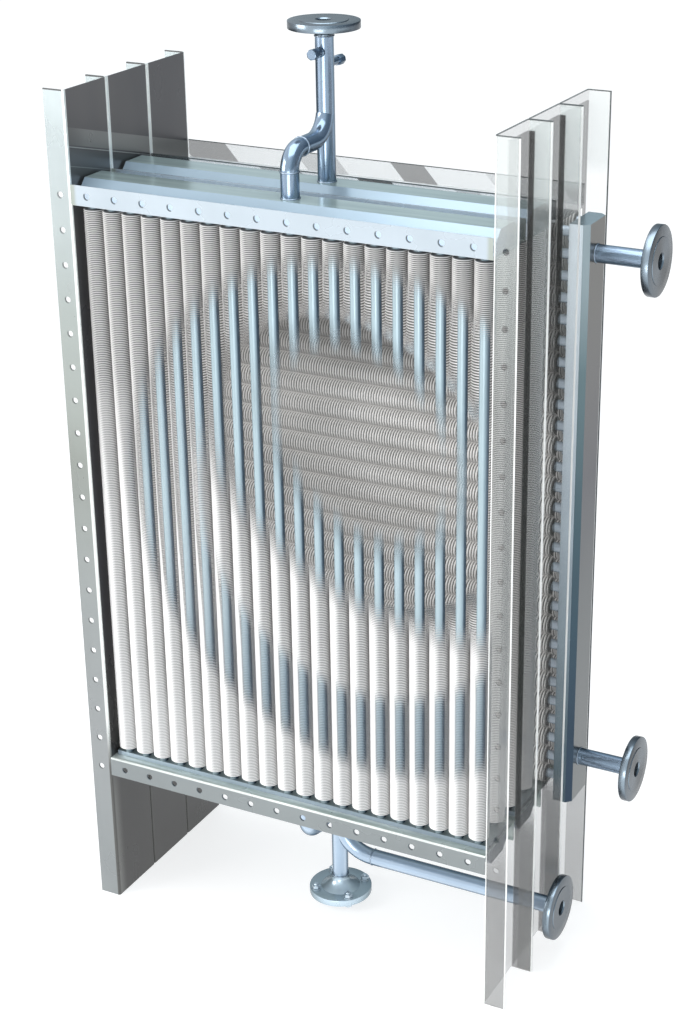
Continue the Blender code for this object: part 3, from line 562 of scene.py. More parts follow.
def fin_material(name, along, mask=None, stripes=None, tones=None, glow=0.1, flank=1.0):
    """Fins with painted light: bright edges and painted shade in dark grooves, a painted white highlight on the left
    flank, painted paler toward the floor.
    """
    m, nt, sh = new_material(name)
    vec = object_coords(nt)
    x, y, z = split(nt, vec)
    cloud = noise(nt, vec, 5.0, 4.0)
    fine = noise(nt, vec, 220.0, 1.0)
    if stripes:
        pitch, axis = stripes
        pos = {"x": x, "z": z}[axis]
        wave = math_node(nt, "PINGPONG", pos, pitch / 2)
        groove = smooth_node(nt, wave, pitch * 0.12, pitch * 0.44)
    else:
        att = nt.nodes.new("ShaderNodeAttribute")
        att.attribute_name = "groove"
        groove = att.outputs["Fac"]
    shade = smooth_node(nt, groove, 0.15, 0.80)
    left_flank = facing(nt, (-0.895, -0.445, 0.0))
    if along == "z":
        height = smooth_node(nt, math_node(nt, "ADD", z, math_node(nt, "MULTIPLY", cloud, 0.10)), 0.5, 2.65)
        face = ramp(nt, height, ((0.0, tones[3]), (0.40, tones[2]), (0.70, tones[1]), (1.0, tones[0])))
        # painted highlight on the left flank, painted shade down the right side
        edge = math_node(nt, "SUBTRACT", left_flank, smooth_node(nt, height, 0.45, 0.85, -0.02, 0.46))
        white = smooth_node(nt, edge, 0.0, 0.62, 0.0, flank)
        right = smooth_node(nt, left_flank, -0.35, -0.95)
        fall = grey(nt, height, ((0.0, 0.26), (0.06, 0.30), (0.14, 0.55), (0.45, 0.52), (0.70, 0.30), (1.0, 0.24)))
        face = times(nt, face, math_node(nt, "SUBTRACT", 1.0, math_node(nt, "MULTIPLY", right, fall)))
        face = times(nt, face, math_node(nt, "ADD", 1.0, math_node(nt, "MULTIPLY", white, 0.20)))
        depth_low = grey(nt, height, ((0.0, 0.34), (0.06, 0.28), (0.14, 0.12), (0.30, 0.06), (0.60, 0.06), (1.0, 0.08)))
        across = math_node(nt, "ADD", x, -OX)
        soft = smooth_node(nt, across, -0.60, -0.10, 0.78, 1.0)
        soft = math_node(nt, "MAXIMUM", soft, smooth_node(nt, height, 0.55, 0.80))
        shade = math_node(nt, "MULTIPLY", shade, soft)
        shade = math_node(nt, "MULTIPLY", shade, math_node(nt, "SUBTRACT", 1.0, math_node(nt, "MULTIPLY", white, 0.62)))
    else:
        # crosswise fins: painted light by the surface's direction, with painted shade on the upper rows
        face = ramp(nt, cloud, ((0.3, tones[0]), (0.7, tones[1])))
        face = times(nt, face, lit(nt, (0.1, -0.75, 0.65), -0.35, 0.95, 0.40, 1.12))
        face = times(nt, face, smooth_node(nt, math_node(nt, "ADD", z, math_node(nt, "MULTIPLY", x, 0.06)), 1.82, 2.08, 1.0, 0.40))
        depth_low = smooth_node(nt, cloud, 0.3, 0.7, 0.06, 0.12)
    dark = times(nt, face, depth_low)
    colour = mix(nt, shade, face, dark)
    colour = mix(nt, math_node(nt, "MULTIPLY", fine, 0.06), colour, (1.0, 0.99, 0.97))
    if mask == "front":
        # in the lower ring the faded fins take on the blue of the tubes behind them, painted lit toward the left flank
        # and shaded toward the right
        zone = math_node(nt, "MULTIPLY", smooth_node(nt, oval_node(nt, vec, OUTER), SOFT_OUT[0], SOFT_OUT[1], 1.0, 0.0), smooth_node(nt, oval_node(nt, vec, MIDDLE), *SOFT_MID))
        zone = math_node(nt, "MULTIPLY", zone, smooth_node(nt, z, 0.95, 1.60, 0.80, 0.10))
        zone = math_node(nt, "MULTIPLY", zone, smooth_node(nt, left_flank, 0.30, 0.65, 1.0, 0.0))
        blue = ramp(nt, smooth_node(nt, left_flank, -0.95, 0.55), ((0.0, (0.05, 0.08, 0.12)), (0.35, (0.14, 0.22, 0.30)), (0.65, (0.30, 0.42, 0.53)), (1.0, (0.62, 0.72, 0.80))))
        colour = mix(nt, zone, colour, mix(nt, shade, blue, (0.015, 0.025, 0.04)))
    nt.links.new(colour, sh.inputs["Base Color"])
    # painted glow, so that the fins deep in the casing read as lit
    nt.links.new(colour, sh.inputs["Emission Color"])
    sh.inputs["Emission Strength"].default_value = glow
    sh.inputs["Metallic"].default_value = 0.20
    nt.links.new(smooth_node(nt, fine, 0.3, 0.7, 0.40, 0.58), sh.inputs["Roughness"])
    if stripes:
        bump(nt, sh, math_node(nt, "SUBTRACT", 1.0, groove), 0.8, 0.002)
    else:
        bump(nt, sh, fine, 0.2, 0.0003)
    if mask == "front":
        outside = smooth_node(nt, oval_node(nt, vec, OUTER), *SOFT_OUT)
        middle = smooth_node(nt, oval_node(nt, vec, MIDDLE), *SOFT_MID, 1.0, 0.0)
        window = smooth_node(nt, oval_node(nt, vec, INNER), *SOFT_IN)
        ring = smooth_node(nt, z, 0.95, 1.60, RING_HIGH, RING_LOW)
        # the painted white highlight on the left flank stays in the ring, wider toward the floor
        kept = math_node(nt, "SUBTRACT", left_flank, smooth_node(nt, z, 1.05, 1.60, 0.34, 0.80))
        kept = smooth_node(nt, kept, 0.0, 0.26, 0.0, 0.92)
        # dark groove lines stay on the right of the faded fins, most of all low down
        lines = math_node(nt, "MULTIPLY", smooth_node(nt, left_flank, -0.10, -0.75), smooth_node(nt, z, 0.75, 1.90, 0.62, 0.30))
        lines = math_node(nt, "MULTIPLY", lines, smooth_node(nt, groove, 0.25, 0.75))
        kept = math_node(nt, "MAXIMUM", kept, lines)
        top = math_node(nt, "MAXIMUM", math_node(nt, "MAXIMUM", outside, middle), math_node(nt, "MAXIMUM", ring, kept))
        seen = math_node(nt, "MULTIPLY", window, top)
        # half faded fins keep their edges longer than their grooves
        between = math_node(nt, "MULTIPLY", seen, math_node(nt, "SUBTRACT", 1.0, seen))
        lean = math_node(nt, "MULTIPLY", between, math_node(nt, "SUBTRACT", 1.0, math_node(nt, "MULTIPLY", groove, 3.0)))
        nt.links.new(math_node(nt, "ADD", seen, lean, clamp=True), sh.inputs["Alpha"])
    elif mask == "deep":
        sight = math_node(nt, "ADD", math_node(nt, "ADD", x, -OX), math_node(nt, "MULTIPLY", math_node(nt, "ADD", y, -OY - PLANE_Y), LEAN[0]))
        seen = smooth_node(nt, oval_node(nt, vec, DEEP), *SOFT_DEEP)
        nt.links.new(math_node(nt, "MAXIMUM", seen, smooth_node(nt, sight, *RIGHT_END)), sh.inputs["Alpha"])
    return m


def core_material(name, mask):
    m, nt, sh, vec, colour = brushed(name, (0.88, 0.88, 0.88), (1.0, 1.0, 1.0), 0.35, (0.20, 0.28), (1, 1, 0.5), 12.0, 0.02, 0.03)
    x, y, z = split(nt, vec)
    # painted light: the tube tone follows the surface's direction, pale toward the light and dark blue away from it;
    # the upright tubes are also painted darker low down
    if mask == "cross":
        tone = ramp(nt, lit(nt, (0.1, -0.8, 0.6), -0.3, 0.9, 0.0, 1.0), ((0.0, (0.12, 0.17, 0.22)), (0.5, (0.36, 0.44, 0.52)), (1.0, (0.74, 0.84, 0.95))))
    else:
        tone = ramp(nt, lit(nt, (-0.233, -0.971, 0.0), -0.60, 1.0, 0.0, 1.0), ((0.0, (0.075, 0.11, 0.15)), (0.44, (0.080, 0.125, 0.17)), (0.62, (0.15, 0.21, 0.26)), (0.76, (0.29, 0.385, 0.45)), (0.92, (0.37, 0.48, 0.54)), (1.0, (0.42, 0.53, 0.58))))
        tone = times(nt, tone, smooth_node(nt, z, 0.65, 1.35, 0.60, 1.0))
    nt.links.new(mix(nt, 1.0, tone, colour, "MULTIPLY"), sh.inputs["Base Color"])
    if mask == "front":
        nt.links.new(smooth_node(nt, oval_node(nt, vec, CORE), *SOFT_CORE), sh.inputs["Alpha"])
    elif mask == "deep":
        nt.links.new(smooth_node(nt, oval_node(nt, vec, DEEP), *SOFT_DEEP), sh.inputs["Alpha"])
    return m


# fin tones from the top down to the floor; the paler ones low down are painted light
TONES = ((0.69, 0.68, 0.67), (0.74, 0.73, 0.725), (0.88, 0.87, 0.865), (0.90, 0.895, 0.89))
DEEP_TONES = ((0.72, 0.705, 0.69), (0.76, 0.745, 0.73), (0.80, 0.785, 0.77), (0.85, 0.84, 0.83))
FIN_FRONT = fin_material("fins_front", "z", "front", None, TONES, 0.10)
FIN_DEEP = fin_material("fins_deep", "z", "deep", (1.45 * FIN_PITCH, "z"), DEEP_TONES, 0.42, 0.15)
FIN_END = fin_material("fins_end", "z", None, None, DEEP_TONES, 0.42, 0.5)
FIN_CROSS = fin_material("fins_cross", "x", None, None, ((0.66, 0.65, 0.635), (0.76, 0.75, 0.735)), 0.50)
FIN_CROSS_S = fin_material("fins_cross_back", "x", None, (CROSS_FIN_PITCH, "x"), ((0.46, 0.45, 0.445), (0.56, 0.55, 0.545)), 0.35)
CORE_M = core_material("tube_steel", "front")
CORE_DEEP = core_material("tube_steel_deep", "deep")
CORE_PLAIN = core_material("tube_steel_plain", "cross")


# ------------------------------------------------------------------- meshes
def mesh_object(name, verts, quads, tris=None, material=None, groove=None, is_smooth=True, sharp=None):
    """Object from arrays, already in the frame."""
    me = bpy.data.meshes.new(name)
    quads = np.asarray(quads, np.int32).reshape(-1, 4)
    tris = np.asarray(tris if tris is not None else [], np.int32).reshape(-1, 3)
    me.vertices.add(len(verts))
    me.vertices.foreach_set("co", np.asarray(verts, np.float32).ravel())
    loops = np.concatenate([quads.ravel(), tris.ravel()])
    me.loops.add(len(loops))
    me.loops.foreach_set("vertex_index", loops)
    starts = np.concatenate([np.arange(len(quads)) * 4, len(quads) * 4 + np.arange(len(tris)) * 3]).astype(np.int32)
    me.polygons.add(len(starts))
    me.polygons.foreach_set("loop_start", starts)
    me.update(calc_edges=True)
    me.validate()
    if groove is not None:
        att = me.attributes.new("groove", "FLOAT", "POINT")
        att.data.foreach_set("value", np.asarray(groove, np.float32))
    if is_smooth:
        me.shade_smooth()
        if sharp:
            me.set_sharp_from_angle(angle=math.radians(sharp))
    ob = bpy.data.objects.new(name, me)
    bpy.context.scene.collection.objects.link(ob)
    if material:
        me.materials.append(material)
    return ob


class Builder:
    """Collects turned stacks and bars into one mesh."""

    def __init__(self):
        self.v, self.q, self.t, self.g, self.n = [], [], [], [], 0

    def stack(self, centre, axis, rings, sides, grooves=None, caps=True, turn=0.0):
        """Rings of (radius, height) round an axis through centre."""
        rings = np.asarray(rings, float)
        a = 2 * np.pi * np.arange(sides) / sides + turn
        c, s = np.cos(a), np.sin(a)
        r, h = rings[:, 0:1], rings[:, 1:2]
        one, two, three = r * c, r * s, np.repeat(h, sides, axis=1)
        if axis == "z":
            pts = np.stack([one, two, three], -1)
        elif axis == "x":
            pts = np.stack([three, one, two], -1)
        else:
            pts = np.stack([two, three, one], -1)
        pts = pts.reshape(-1, 3) + np.asarray(centre, float)
        k = len(rings)
        base = self.n
        i = np.arange(k - 1)[:, None] * sides
        j = np.arange(sides)[None, :]
        jn = (j + 1) % sides
        quads = np.stack([i + j, i + jn, i + sides + jn, i + sides + j], -1).reshape(-1, 4) + base
        rising = rings[-1, 1] >= rings[0, 1]
        if not rising:
            quads = quads[:, ::-1]
        self.v.append(pts)
        self.q.append(quads)
        self.g.append(np.repeat(np.zeros(k) if grooves is None else np.asarray(grooves, float), sides))
        self.n += k * sides
        if caps:
            for ring, flip in ((0, rising), (k - 1, not rising)):
                middle = np.asarray(centre, float).copy()
                middle[{"x": 0, "y": 1, "z": 2}[axis]] += rings[ring, 1]
                self.v.append(middle[None, :])
                self.g.append(np.zeros(1))
                m = self.n
                self.n += 1
                o = base + ring * sides
                jj = np.arange(sides)
                tri = np.stack([np.full(sides, m), o + jj, o + (jj + 1) % sides], -1)
                self.t.append(tri[:, ::-1] if flip else tri)

    def loop(self, centre, axis, rings, sides, turn=0.0):
        """Closed ring profile turned round an axis."""
        rings = list(rings) + [rings[0]]
        self.stack(centre, axis, rings, sides, caps=False, turn=turn)

    def sweep(self, path, radius, sides=32, inner=None):
        """Round pipe along a path, hollow if inner is given."""
        path = [Vector(p) for p in path]
        tangents = []
        for i, p in enumerate(path):
            a = path[i] - path[i - 1] if i else path[1] - path[0]
            b = path[i + 1] - path[i] if i < len(path) - 1 else a
            tangents.append((a.normalized() + b.normalized()).normalized())
        side = tangents[0].orthogonal().normalized()
        frames = []
        for t in tangents:
            side = (side - t * side.dot(t)).normalized()
            frames.append((side.copy(), t.cross(side)))
        angles = [2 * math.pi * k / sides for k in range(sides)]

        def ring(i, r):
            p, (u, w) = path[i], frames[i]
            stretch = 1.0
            return [p + (u * math.cos(a) + w * math.sin(a)) * r * stretch for a in angles]

        order = [(i, radius) for i in range(len(path))]
        closed = inner is not None
        if closed:
            order += [(i, inner) for i in reversed(range(len(path)))]
            order.append((0, radius))
        base = self.n
        pts = [q for i, r in order for q in ring(i, r)]
        k = len(order)
        i = np.arange(k - 1)[:, None] * sides
        j = np.arange(sides)[None, :]
        jn = (j + 1) % sides
        quads = np.stack([i + j, i + jn, i + sides + jn, i + sides + j], -1).reshape(-1, 4) + base
        self.v.append(np.array([tuple(p) for p in pts]))
        self.g.append(np.zeros(len(pts)))
        self.q.append(quads)
        self.n += len(pts)
        if not closed:
            for ringi, flip in ((0, True), (k - 1, False)):
                o = base + ringi * sides
                self.v.append(np.array([tuple(path[0] if ringi == 0 else path[-1])]))
                self.g.append(np.zeros(1))
                m = self.n
                self.n += 1
                jj = np.arange(sides)
                tri = np.stack([np.full(sides, m), o + jj, o + (jj + 1) % sides], -1)
                self.t.append(tri[:, ::-1] if flip else tri)

    def bead(self, centre, axis, radius, size=0.0035, sides=40):
        """A slightly uneven weld bead round a pipe."""
        a = 2 * np.pi * np.arange(sides) / sides
        steps = 8
        b = 2 * np.pi * np.arange(steps) / steps
        wob = 1 + 0.16 * np.sin(a * 13)
        rr = radius + np.outer(wob, np.cos(b)) * size
        hh = np.outer(wob, np.sin(b)) * size
        c, s = np.cos(a)[:, None], np.sin(a)[:, None]
        one, two, three = rr * c, rr * s, hh
        if axis == "z":
            pts = np.stack([one, two, three], -1)
        elif axis == "x":
            pts = np.stack([three, one, two], -1)
        else:
            pts = np.stack([two, three, one], -1)
        pts = pts.reshape(-1, 3) + np.asarray(centre, float)
        i = np.arange(sides)[:, None]
        j = np.arange(steps)[None, :]
        i2, j2 = (i + 1) % sides, (j + 1) % steps
        quads = np.stack([i * steps + j, i2 * steps + j, i2 * steps + j2, i * steps + j2], -1).reshape(-1, 4)
        self.v.append(pts)
        self.g.append(np.zeros(len(pts)))
        self.q.append(quads[:, ::1] + self.n)
        self.n += len(pts)

    def make(self, name, material, sharp=None):
        v = np.concatenate(self.v)
        v = v + np.array([OX, OY, 0.0])
        q = np.concatenate(self.q) if self.q else []
        t = np.concatenate(self.t) if self.t else None
        ob = mesh_object(name, v, q, t, material, np.concatenate(self.g), True, sharp)
        return ob


def finish_piece(ob, nodes):
    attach(ob, "root")
    if nodes:
        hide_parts(*nodes)
    return ob


def kept_spans(low, high, step, alpha, centre, radius, along):
    """Spans of a tube where some point of its surface is still visible."""
    hs = np.arange(low, high + step * 0.5, step)
    angles = np.linspace(0, 2 * np.pi, 12, endpoint=False)
    seen = np.zeros(len(hs), bool)
    for a in angles:
        dx, dy = radius * np.cos(a), radius * np.sin(a)
        if along == "z":
            pts = np.stack([np.full(len(hs), centre[0] + dx + OX), np.full(len(hs), centre[1] + dy + OY), hs], -1)
        else:
            pts = np.stack([hs + OX, np.full(len(hs), centre[1] + dx + OY), np.full(len(hs), centre[2] + dy)], -1)
        seen |= alpha(pts) > 0.02
    spans, start = [], None
    for i, ok in enumerate(seen):
        if ok and start is None:
            start = i
        if start is not None and (not ok or i == len(seen) - 1):
            end = i if not ok else i + 1
            if end - start > 2:
                spans.append((hs[start], hs[end - 1]))
            start = None
    return spans


def fin_rings(low, high, pitch, outer, groove):
    count = max(1, int(round((high - low) / pitch)))
    step = (high - low) / count
    rings, marks = [(outer - groove, low)], [1.0]
    for i in range(count):
        z0 = low + i * step
        rings.append((outer, z0 + step * 0.34))
        marks.append(0.0)
        rings.append((outer - groove, z0 + step * (0.96 if i < count - 1 else 1.0)))
        marks.append(1.0)
    return rings, marks


# --------------------------------------------------------------- tube rows
def front_fins():
    for part in range(4):
        b = Builder()
        nodes = []
        for i in range(part * 5, part * 5 + 5):
            x = TUBE_PITCH * (i - (TUBES - 1) / 2)
            centre = (x, ROW_Y[0], 0.0)
            for low, high in kept_spans(FIN_Z0, FIN_Z1, FIN_PITCH, front_fin_alpha, centre, FIN_R, "z"):
                high = min(high + FIN_PITCH, FIN_Z1)
                rings, marks = fin_rings(low, high, FIN_PITCH, FIN_R, GROOVE)
                b.stack(centre, "z", rings, 18, marks, turn=0.1)
            nodes.append(f"finned_tube_{i + 1:02d}")
        finish_piece(b.make(f"fins_front_{part + 1}", FIN_FRONT), nodes)


def upright_cores(name, tubes, y, nodes, alpha=core_alpha, material=CORE_M):
    b = Builder()
    low, high = BOTTOM_HEAD_Z, TOP_HEAD_Z
    for x in tubes:
        for z0, z1 in kept_spans(low, high, 0.01, alpha, (x, y, 0.0), CORE_R, "z"):
            z1 = min(z1, high)
            if high - z1 < 0.02:
                z1 = high
            b.stack((x, y, 0.0), "z", [(CORE_R, z0), (CORE_R, (z0 + z1) / 2), (CORE_R, z1)], 24)
    return finish_piece(b.make(name, material, 50), nodes)


def hidden_upright_rows():
    for module, rows in ((0, (1, 2)), (1, (0, 1, 2))):
        for row in rows:
            count = TUBES - row % 2
            y = module * MODULE_D + ROW_Y[row]
            node = f"tube_row_{module + 1}_{row + 1}"
            xs = [TUBE_PITCH * (i - (count - 1) / 2) for i in range(count)]
            b = Builder()
            if row != 1:
                end = Builder()
                rings, marks = fin_rings(FIN_Z0, FIN_Z1, FIN_PITCH, FIN_R, GROOVE)
                end.stack((xs[-1], y, 0.0), "z", rings, 16, marks, turn=0.1)
                finish_piece(end.make(f"fins_{module + 1}_{row + 1}_end", FIN_END), [node])
            for x in (xs if row == 1 else xs[:-1]):
                for low, high in kept_spans(FIN_Z0, FIN_Z1, FIN_PITCH, deep_alpha, (x, y, 0.0), FIN_R, "z"):
                    high = min(high + FIN_PITCH, FIN_Z1)
                    r = FIN_R - 0.0005
                    b.stack((x, y, 0.0), "z", [(r, low), (r, (low + high) / 2), (r, high)], 24)
            finish_piece(b.make(f"fins_{module + 1}_{row + 1}", FIN_DEEP, 50), [node])
            upright_cores(f"tubes_{module + 1}_{row + 1}", xs, y, [node], deep_alpha, CORE_DEEP)


def cross_rows():
    for row in (0, 1, 2):
        count = CROSS_TUBES - row % 2
        y = 2 * MODULE_D + ROW_Y[row]
        node = f"tube_row_3_{row + 1}"
        zs = [CROSS_MID + CROSS_PITCH * (i - (count - 1) / 2) for i in range(count)]
        cores = Builder()
        for z in zs:
            cores.stack((0.0, y, z), "x", [(CORE_R, -SIDE_HEAD_X), (CORE_R, 0.0), (CORE_R, SIDE_HEAD_X)], 20)
        finish_piece(cores.make(f"tubes_3_{row + 1}", CORE_PLAIN, 50), [node])
        halves = (0, 1) if row != 1 else (0,)
        for half in halves:
            b = Builder()
            use = zs if row == 1 else zs[half::2]
            for z in use:
                if row == 1:
                    r = FIN_R - 0.0005
                    b.stack((0.0, y, z), "x", [(r, -CROSS_FIN_X), (r, 0.0), (r, CROSS_FIN_X)], 24)
                else:
                    rings, marks = fin_rings(-CROSS_FIN_X, CROSS_FIN_X, CROSS_FIN_PITCH, FIN_R, 0.010)
                    b.stack((0.0, y, z), "x", rings, 12, marks, turn=0.13)
            ob = b.make(f"fins_3_{row + 1}_{half + 1}", FIN_CROSS_S if row == 1 else FIN_CROSS, 60 if row == 1 else None)
            finish_piece(ob, [node])


front_fins()
upright_cores("tubes_front", [TUBE_PITCH * (i - (TUBES - 1) / 2) for i in range(TUBES)], ROW_Y[0], [f"finned_tube_{i + 1:02d}" for i in range(TUBES)])
hidden_upright_rows()
cross_rows()


# ------------------------------------------------------- pipes and flanges
def arc(centre, start, end, radius, steps):
    made = []
    for i in range(steps + 1):
        t = math.pi / 2 * i / steps
        made.append(Vector(centre) + radius * (math.cos(t) * Vector(start) + math.sin(t) * Vector(end)))
    return made


def flange(name, node, centre, axis, way, hub_r, hub_h, bolts=False, material=FLANGE):
    """Flange turned round its axis, the face at centre, the neck behind it."""
    b = Builder()
    back = -RAISED_T - DISC_T
    c = 0.0022
    prof = [
        (BORE_R, -0.004), (BORE_R + 0.003, 0.0), (RAISED_R - 0.001, 0.0), (RAISED_R, -0.0008), (RAISED_R + 0.0005, -RAISED_T),
        (DISC_R - c, -RAISED_T), (DISC_R - c * 0.3, -RAISED_T - c * 0.3), (DISC_R, -RAISED_T - c), (DISC_R, back + c), (DISC_R - c * 0.3, back + c * 0.3), (DISC_R - c, back),
        (hub_r + 0.003, back), (hub_r, back - 0.002),
    ]
    for i in range(1, 7):
        t = i / 6
        r = hub_r + (PIPE_R + 0.0008 - hub_r) * (math.sin(t * math.pi / 2) ** 0.8)
        prof.append((r, back - 0.002 - (hub_h * 0.85 - 0.002) * t))
    prof += [(PIPE_R + 0.0008, back - hub_h), (BORE_R, back - hub_h)]
    prof = [(r, h * way) for r, h in prof]
    b.loop(centre, axis, prof, 72)
    piece = finish_piece(b.make(name, material, 32), [node])
    w = Builder()
    end = Vector(centre)
    end["xyz".index(axis)] += way * (back - hub_h)
    w.bead(tuple(end), axis, PIPE_R + 0.0006, 0.0022)
    finish_piece(w.make(name + "_weld", WELD), [])
    if bolts:
        k = Builder()
        for q in range(4):
            t = math.pi / 4 + math.pi / 2 * q
            x, y = centre[0] + 0.090 * math.cos(t), centre[1] + 0.090 * math.sin(t)
            zf = centre[2]
            top = zf - back * -way if False else zf + RAISED_T + DISC_T
            # washer, nut and stud above, head below
            k.stack((x, y, 0.0), "z", [(0.0165, top), (0.0170, top + 0.0006), (0.0170, top + 0.0024), (0.0160, top + 0.003)], 28)
            k.stack((x, y, 0.0), "z", [(0.0135, top + 0.003), (0.0150, top + 0.0045), (0.0150, top + 0.0135), (0.0135, top + 0.015)], 6, turn=0.4 + q)
            k.stack((x, y, 0.0), "z", [(0.0078, top + 0.015), (0.0078, top + 0.0195), (0.0066, top + 0.0212)], 16)
            k.stack((x, y, 0.0), "z", [(0.0135, zf - 0.009), (0.0150, zf - 0.0075), (0.0150, zf + 0.001)], 6, turn=0.9 + q)
        finish_piece(k.make(name + "_bolts", BOLT, 30), [])
    return piece


def smooth_pipe(name, node, path, material=PIPE):
    b = Builder()
    b.sweep(path, PIPE_R, 36, BORE_R)
    return finish_piece(b.make(name, material, 50), [node])


def socket(name, node, z, way, reach):
    b = Builder()
    cap, neck = 0.0165, 0.0120
    s = PIPE_R - 0.006
    turn = 0.2
    rings = [(cap * 0.80, reach), (cap * 0.97, reach - 0.0016), (cap, reach - 0.004), (cap, reach - 0.030), (cap * 0.95, reach - 0.032)]
    b.stack((0.0, MAIN_Y, z), "y", [(r, way * h) for r, h in rings], 8, turn=turn)
    b.stack((0.0, MAIN_Y, z), "y", [(neck, way * (reach - 0.032)), (neck, way * s)], 24)
    b.stack((0.0, MAIN_Y, z), "y", [(neck + 0.0035, way * (PIPE_R - 0.004)), (neck + 0.0035, way * (PIPE_R + 0.003)), (neck + 0.0005, way * (PIPE_R + 0.006))], 24)
    finish_piece(b.make(name, PIPE, 30), [node])


base = TOP_HEAD_Z + HEAD_T
smooth_pipe("top_main", "top_pipe_main", [(0, MAIN_Y, base), (0, MAIN_Y, (base + 3.03) / 2), (0, MAIN_Y, TOP_FACE_Z - RAISED_T - DISC_T - 0.022)])
flange("top_flange_turned", "top_flange", (0, MAIN_Y, TOP_FACE_Z), "z", 1, 0.054, 0.022)
r1, r2 = 0.060, 0.090
path = [Vector((0, FIRST_Y, base))] + arc((0, FIRST_Y + r1, TOP_ELBOW_Z - r1), (0, -1, 0), (0, 0, 1), r1, 14)
path += arc((0, MAIN_Y - r2, TOP_ELBOW_Z + r2), (0, 0, -1), (0, 1, 0), r2, 12)[:-2]
smooth_pipe("top_branch", "top_pipe_branch", path)
socket("front_socket", "top_socket_front", 2.983, -1, 0.083)
socket("rear_socket", "top_socket_rear", 2.941, 1, 0.108)

base = BOTTOM_HEAD_Z - HEAD_T
foot_top = FOOT_FACE_Z + RAISED_T + DISC_T + 0.045
smooth_pipe("bottom_main", "bottom_pipe_main", [(0, MAIN_Y, base), (0, MAIN_Y, 0.3), (0, MAIN_Y, foot_top)], PIPE_LOW)
flange("bottom_flange_turned", "bottom_flange", (0, MAIN_Y, FOOT_FACE_Z), "z", -1, 0.066, 0.045, bolts=True, material=FLANGE_LOW)
path = [Vector((0, FIRST_Y, base))] + arc((0, FIRST_Y + r1, BOTTOM_ELBOW_Z + r1), (0, -1, 0), (0, 0, -1), r1, 14)
path.append(Vector((0, MAIN_Y - 0.012, BOTTOM_ELBOW_Z)))
smooth_pipe("bottom_branch", "bottom_pipe_branch", path, PIPE_LOW)
r3 = 0.130
path = arc((r3, MAIN_Y, BRANCH_Z + r3), (-1, 0, 0), (0, 0, -1), r3, 18)
path.append(Vector((BRANCH_FACE_X - RAISED_T - DISC_T - 0.020, MAIN_Y, BRANCH_Z)))
smooth_pipe("bottom_side", "bottom_side_pipe", path, PIPE_LOW)
flange("bottom_side_flange_turned", "bottom_side_flange", (BRANCH_FACE_X, MAIN_Y, BRANCH_Z), "x", 1, 0.044, 0.020)
ny = 2 * MODULE_D + ROW_Y[1]
for label, z in zip(("upper", "lower"), NOZZLE_Z):
    start = SIDE_HEAD_X + SIDE_HEAD_T
    smooth_pipe(f"nozzle_{label}", f"nozzle_pipe_{label}", [(start, ny, z), (start + 0.06, ny, z), (NOZZLE_FACE_X - RAISED_T - DISC_T - 0.012, ny, z)])
    flange(f"nozzle_flange_{label}_turned", f"nozzle_flange_{label}", (NOZZLE_FACE_X, ny, z), "x", 1, 0.036, 0.012)

# weld beads where pipes meet headers and each other
welds = Builder()
for spot, axis in (
    ((0, MAIN_Y, TOP_HEAD_Z + HEAD_T + 0.001), "z"), ((0, FIRST_Y, TOP_HEAD_Z + HEAD_T + 0.001), "z"),
    ((0, MAIN_Y, BOTTOM_HEAD_Z - HEAD_T - 0.001), "z"), ((0, FIRST_Y, BOTTOM_HEAD_Z - HEAD_T - 0.001), "z"),
    ((0, FIRST_Y, TOP_ELBOW_Z - r1), "z"), ((0, FIRST_Y + r1 + 0.012, TOP_ELBOW_Z), "y"),
    ((0, FIRST_Y, BOTTOM_ELBOW_Z + r1), "z"), ((0, FIRST_Y + r1 + 0.004, BOTTOM_ELBOW_Z), "y"),
    ((r3 + 0.004, MAIN_Y, BRANCH_Z), "x"),
    ((SIDE_HEAD_X + SIDE_HEAD_T + 0.001, ny, NOZZLE_Z[0]), "x"), ((SIDE_HEAD_X + SIDE_HEAD_T + 0.001, ny, NOZZLE_Z[1]), "x"),
):
    welds.bead(spot, axis, PIPE_R, 0.0022 if "x" == axis or spot[2] < 0 else 0.0026)
finish_piece(welds.make("pipe_welds", WELD), [])

# ------------------------------------------------- carried-over CAD materials
def give(node, material, bevel=None):
    ob = NODES[node]
    ob.data.materials.clear()
    ob.data.materials.append(material)
    if bevel:
        bv = ob.modifiers.new("edge", "BEVEL")
        bv.width = bevel
        bv.segments = 2
        bv.limit_method = "ANGLE"
        bv.angle_limit = math.radians(35)
        bv.harden_normals = False


for k in (1, 2, 3):
    give(f"side_channel_left_{k}", LEFT)
    give(f"side_channel_right_{k}", CLEAR)
    give(f"bottom_plate_{k}", STRIP)
give("top_plate_1", STRIP)
give("top_plate_2", CLEAR_TOP)
give("top_plate_3", CLEAR_TOP)
for node in ("header_top_1", "header_top_2", "header_bottom_1", "header_bottom_2"):
    give(node, HEADER, 0.0025)
for node in ("header_side_left", "header_side_right"):
    give(node, HEADER_SIDE, 0.0025)

# -------------------------------------------------------------- studio stage
bpy.ops.mesh.primitive_plane_add(size=80.0, location=(0, 0, -0.0004))
floor = bpy.context.object
floor.name = "studio_floor"
m, nt, sh = new_material("studio_floor")
vec = object_coords(nt)
cloud = noise(nt, vec, 0.6, 2.0)
nt.links.new(ramp(nt, cloud, ((0.3, (0.44, 0.44, 0.44)), (0.7, (0.46, 0.46, 0.46)))), sh.inputs["Base Color"])
sh.inputs["Roughness"].default_value = 0.9
sh.inputs["Specular IOR Level"].default_value = 0.0
sh.inputs["Emission Color"].default_value = (1.0, 1.0, 1.0, 1.0)
sh.inputs["Emission Strength"].default_value = 0.74
floor.data.materials.append(m)

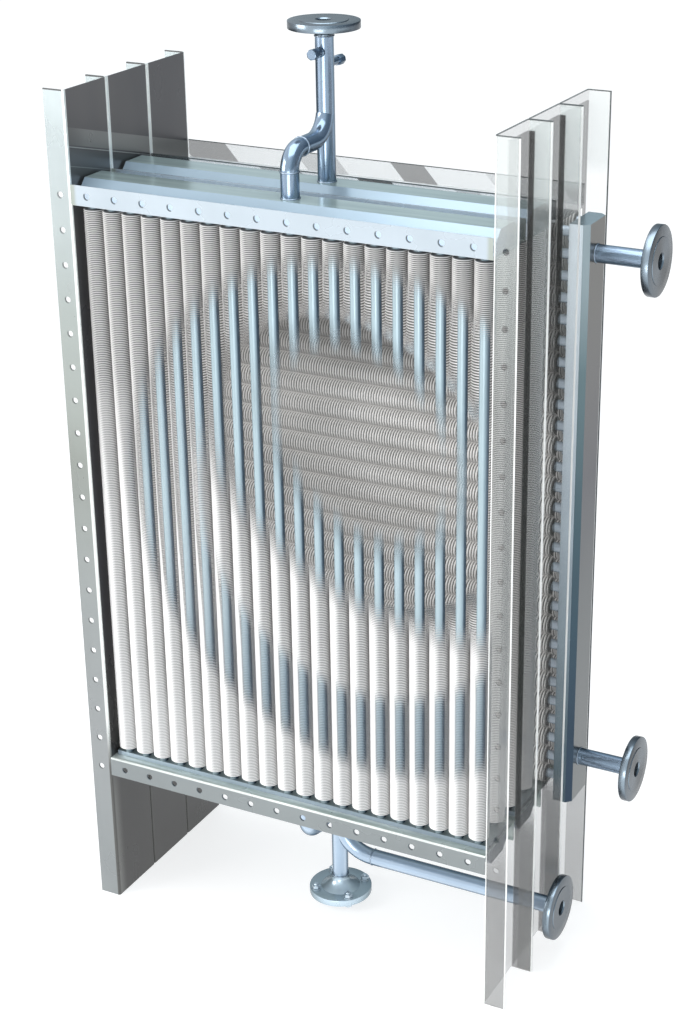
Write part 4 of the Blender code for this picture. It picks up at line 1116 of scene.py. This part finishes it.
world = bpy.data.worlds.new("studio")
bpy.context.scene.world = world
world.use_nodes = True
nt = world.node_tree
nt.nodes.clear()
out = nt.nodes.new("ShaderNodeOutputWorld")
bg = nt.nodes.new("ShaderNodeBackground")
nt.links.new(bg.outputs[0], out.inputs[0])
gen = nt.nodes.new("ShaderNodeTexCoord").outputs["Generated"]
side = dot(nt, gen, (-0.78, -0.52, 0.35), 0.0)
colour = ramp(nt, smooth_node(nt, side, -1.0, 1.0), ((0.0, (0.10, 0.14, 0.19)), (0.30, (0.26, 0.33, 0.38)), (0.48, (0.52, 0.62, 0.68)), (0.66, (0.84, 0.93, 1.0)), (1.0, (1.0, 1.0, 1.0))))
nt.links.new(colour, bg.inputs["Color"])
bg.inputs["Strength"].default_value = 0.95


def area(name, location, target, size, power, colour=(1, 1, 1)):
    data = bpy.data.lights.new(name, "AREA")
    data.shape = "RECTANGLE"
    data.size, data.size_y = size
    data.energy = power
    data.color = colour
    ob = bpy.data.objects.new(name, data)
    ob.location = location
    ob.rotation_euler = (Vector(target) - Vector(location)).to_track_quat("-Z", "Y").to_euler()
    bpy.context.scene.collection.objects.link(ob)


area("key", (-4.4, -3.8, 3.6), (0, 0, 1.4), (3.0, 3.0), 150, (1.0, 0.99, 0.97))
area("over", (0.3, -0.6, 6.0), (0, 0, 1.5), (4.0, 4.0), 110, (0.95, 0.98, 1.0))
area("front", (1.2, -6.0, 1.2), (0, 0, 0.8), (3.0, 2.0), 70)

scene = bpy.context.scene
scene.view_settings.view_transform = "Standard"
scene.view_settings.look = "None"
scene.cycles.transparent_max_bounces = 64

# -------------------------------------------------------------------- camera
data = bpy.data.cameras.new("camera")
camera = bpy.data.objects.new("camera", data)
bpy.context.scene.collection.objects.link(camera)
data.sensor_fit = "VERTICAL"
data.sensor_height = 36.0
data.lens = 70.937
data.shift_x = -0.05225
data.clip_end = 200
right = Vector((0.895415072710373, 0.44520535874397804, -0.004902663431562482))
down = Vector((0.17188045809493638, -0.35580888598273386, -0.9186169739237353))
ahead = Vector((-0.41071761063795664, 0.8217008124624021, -0.3951187405204618))
turn = Matrix((right, -down, -ahead)).transposed().to_4x4()
camera.matrix_world = Matrix.Translation((2.9051 + OX, -4.9823 + OY, 4.0936)) @ turn
bpy.context.scene.camera = camera
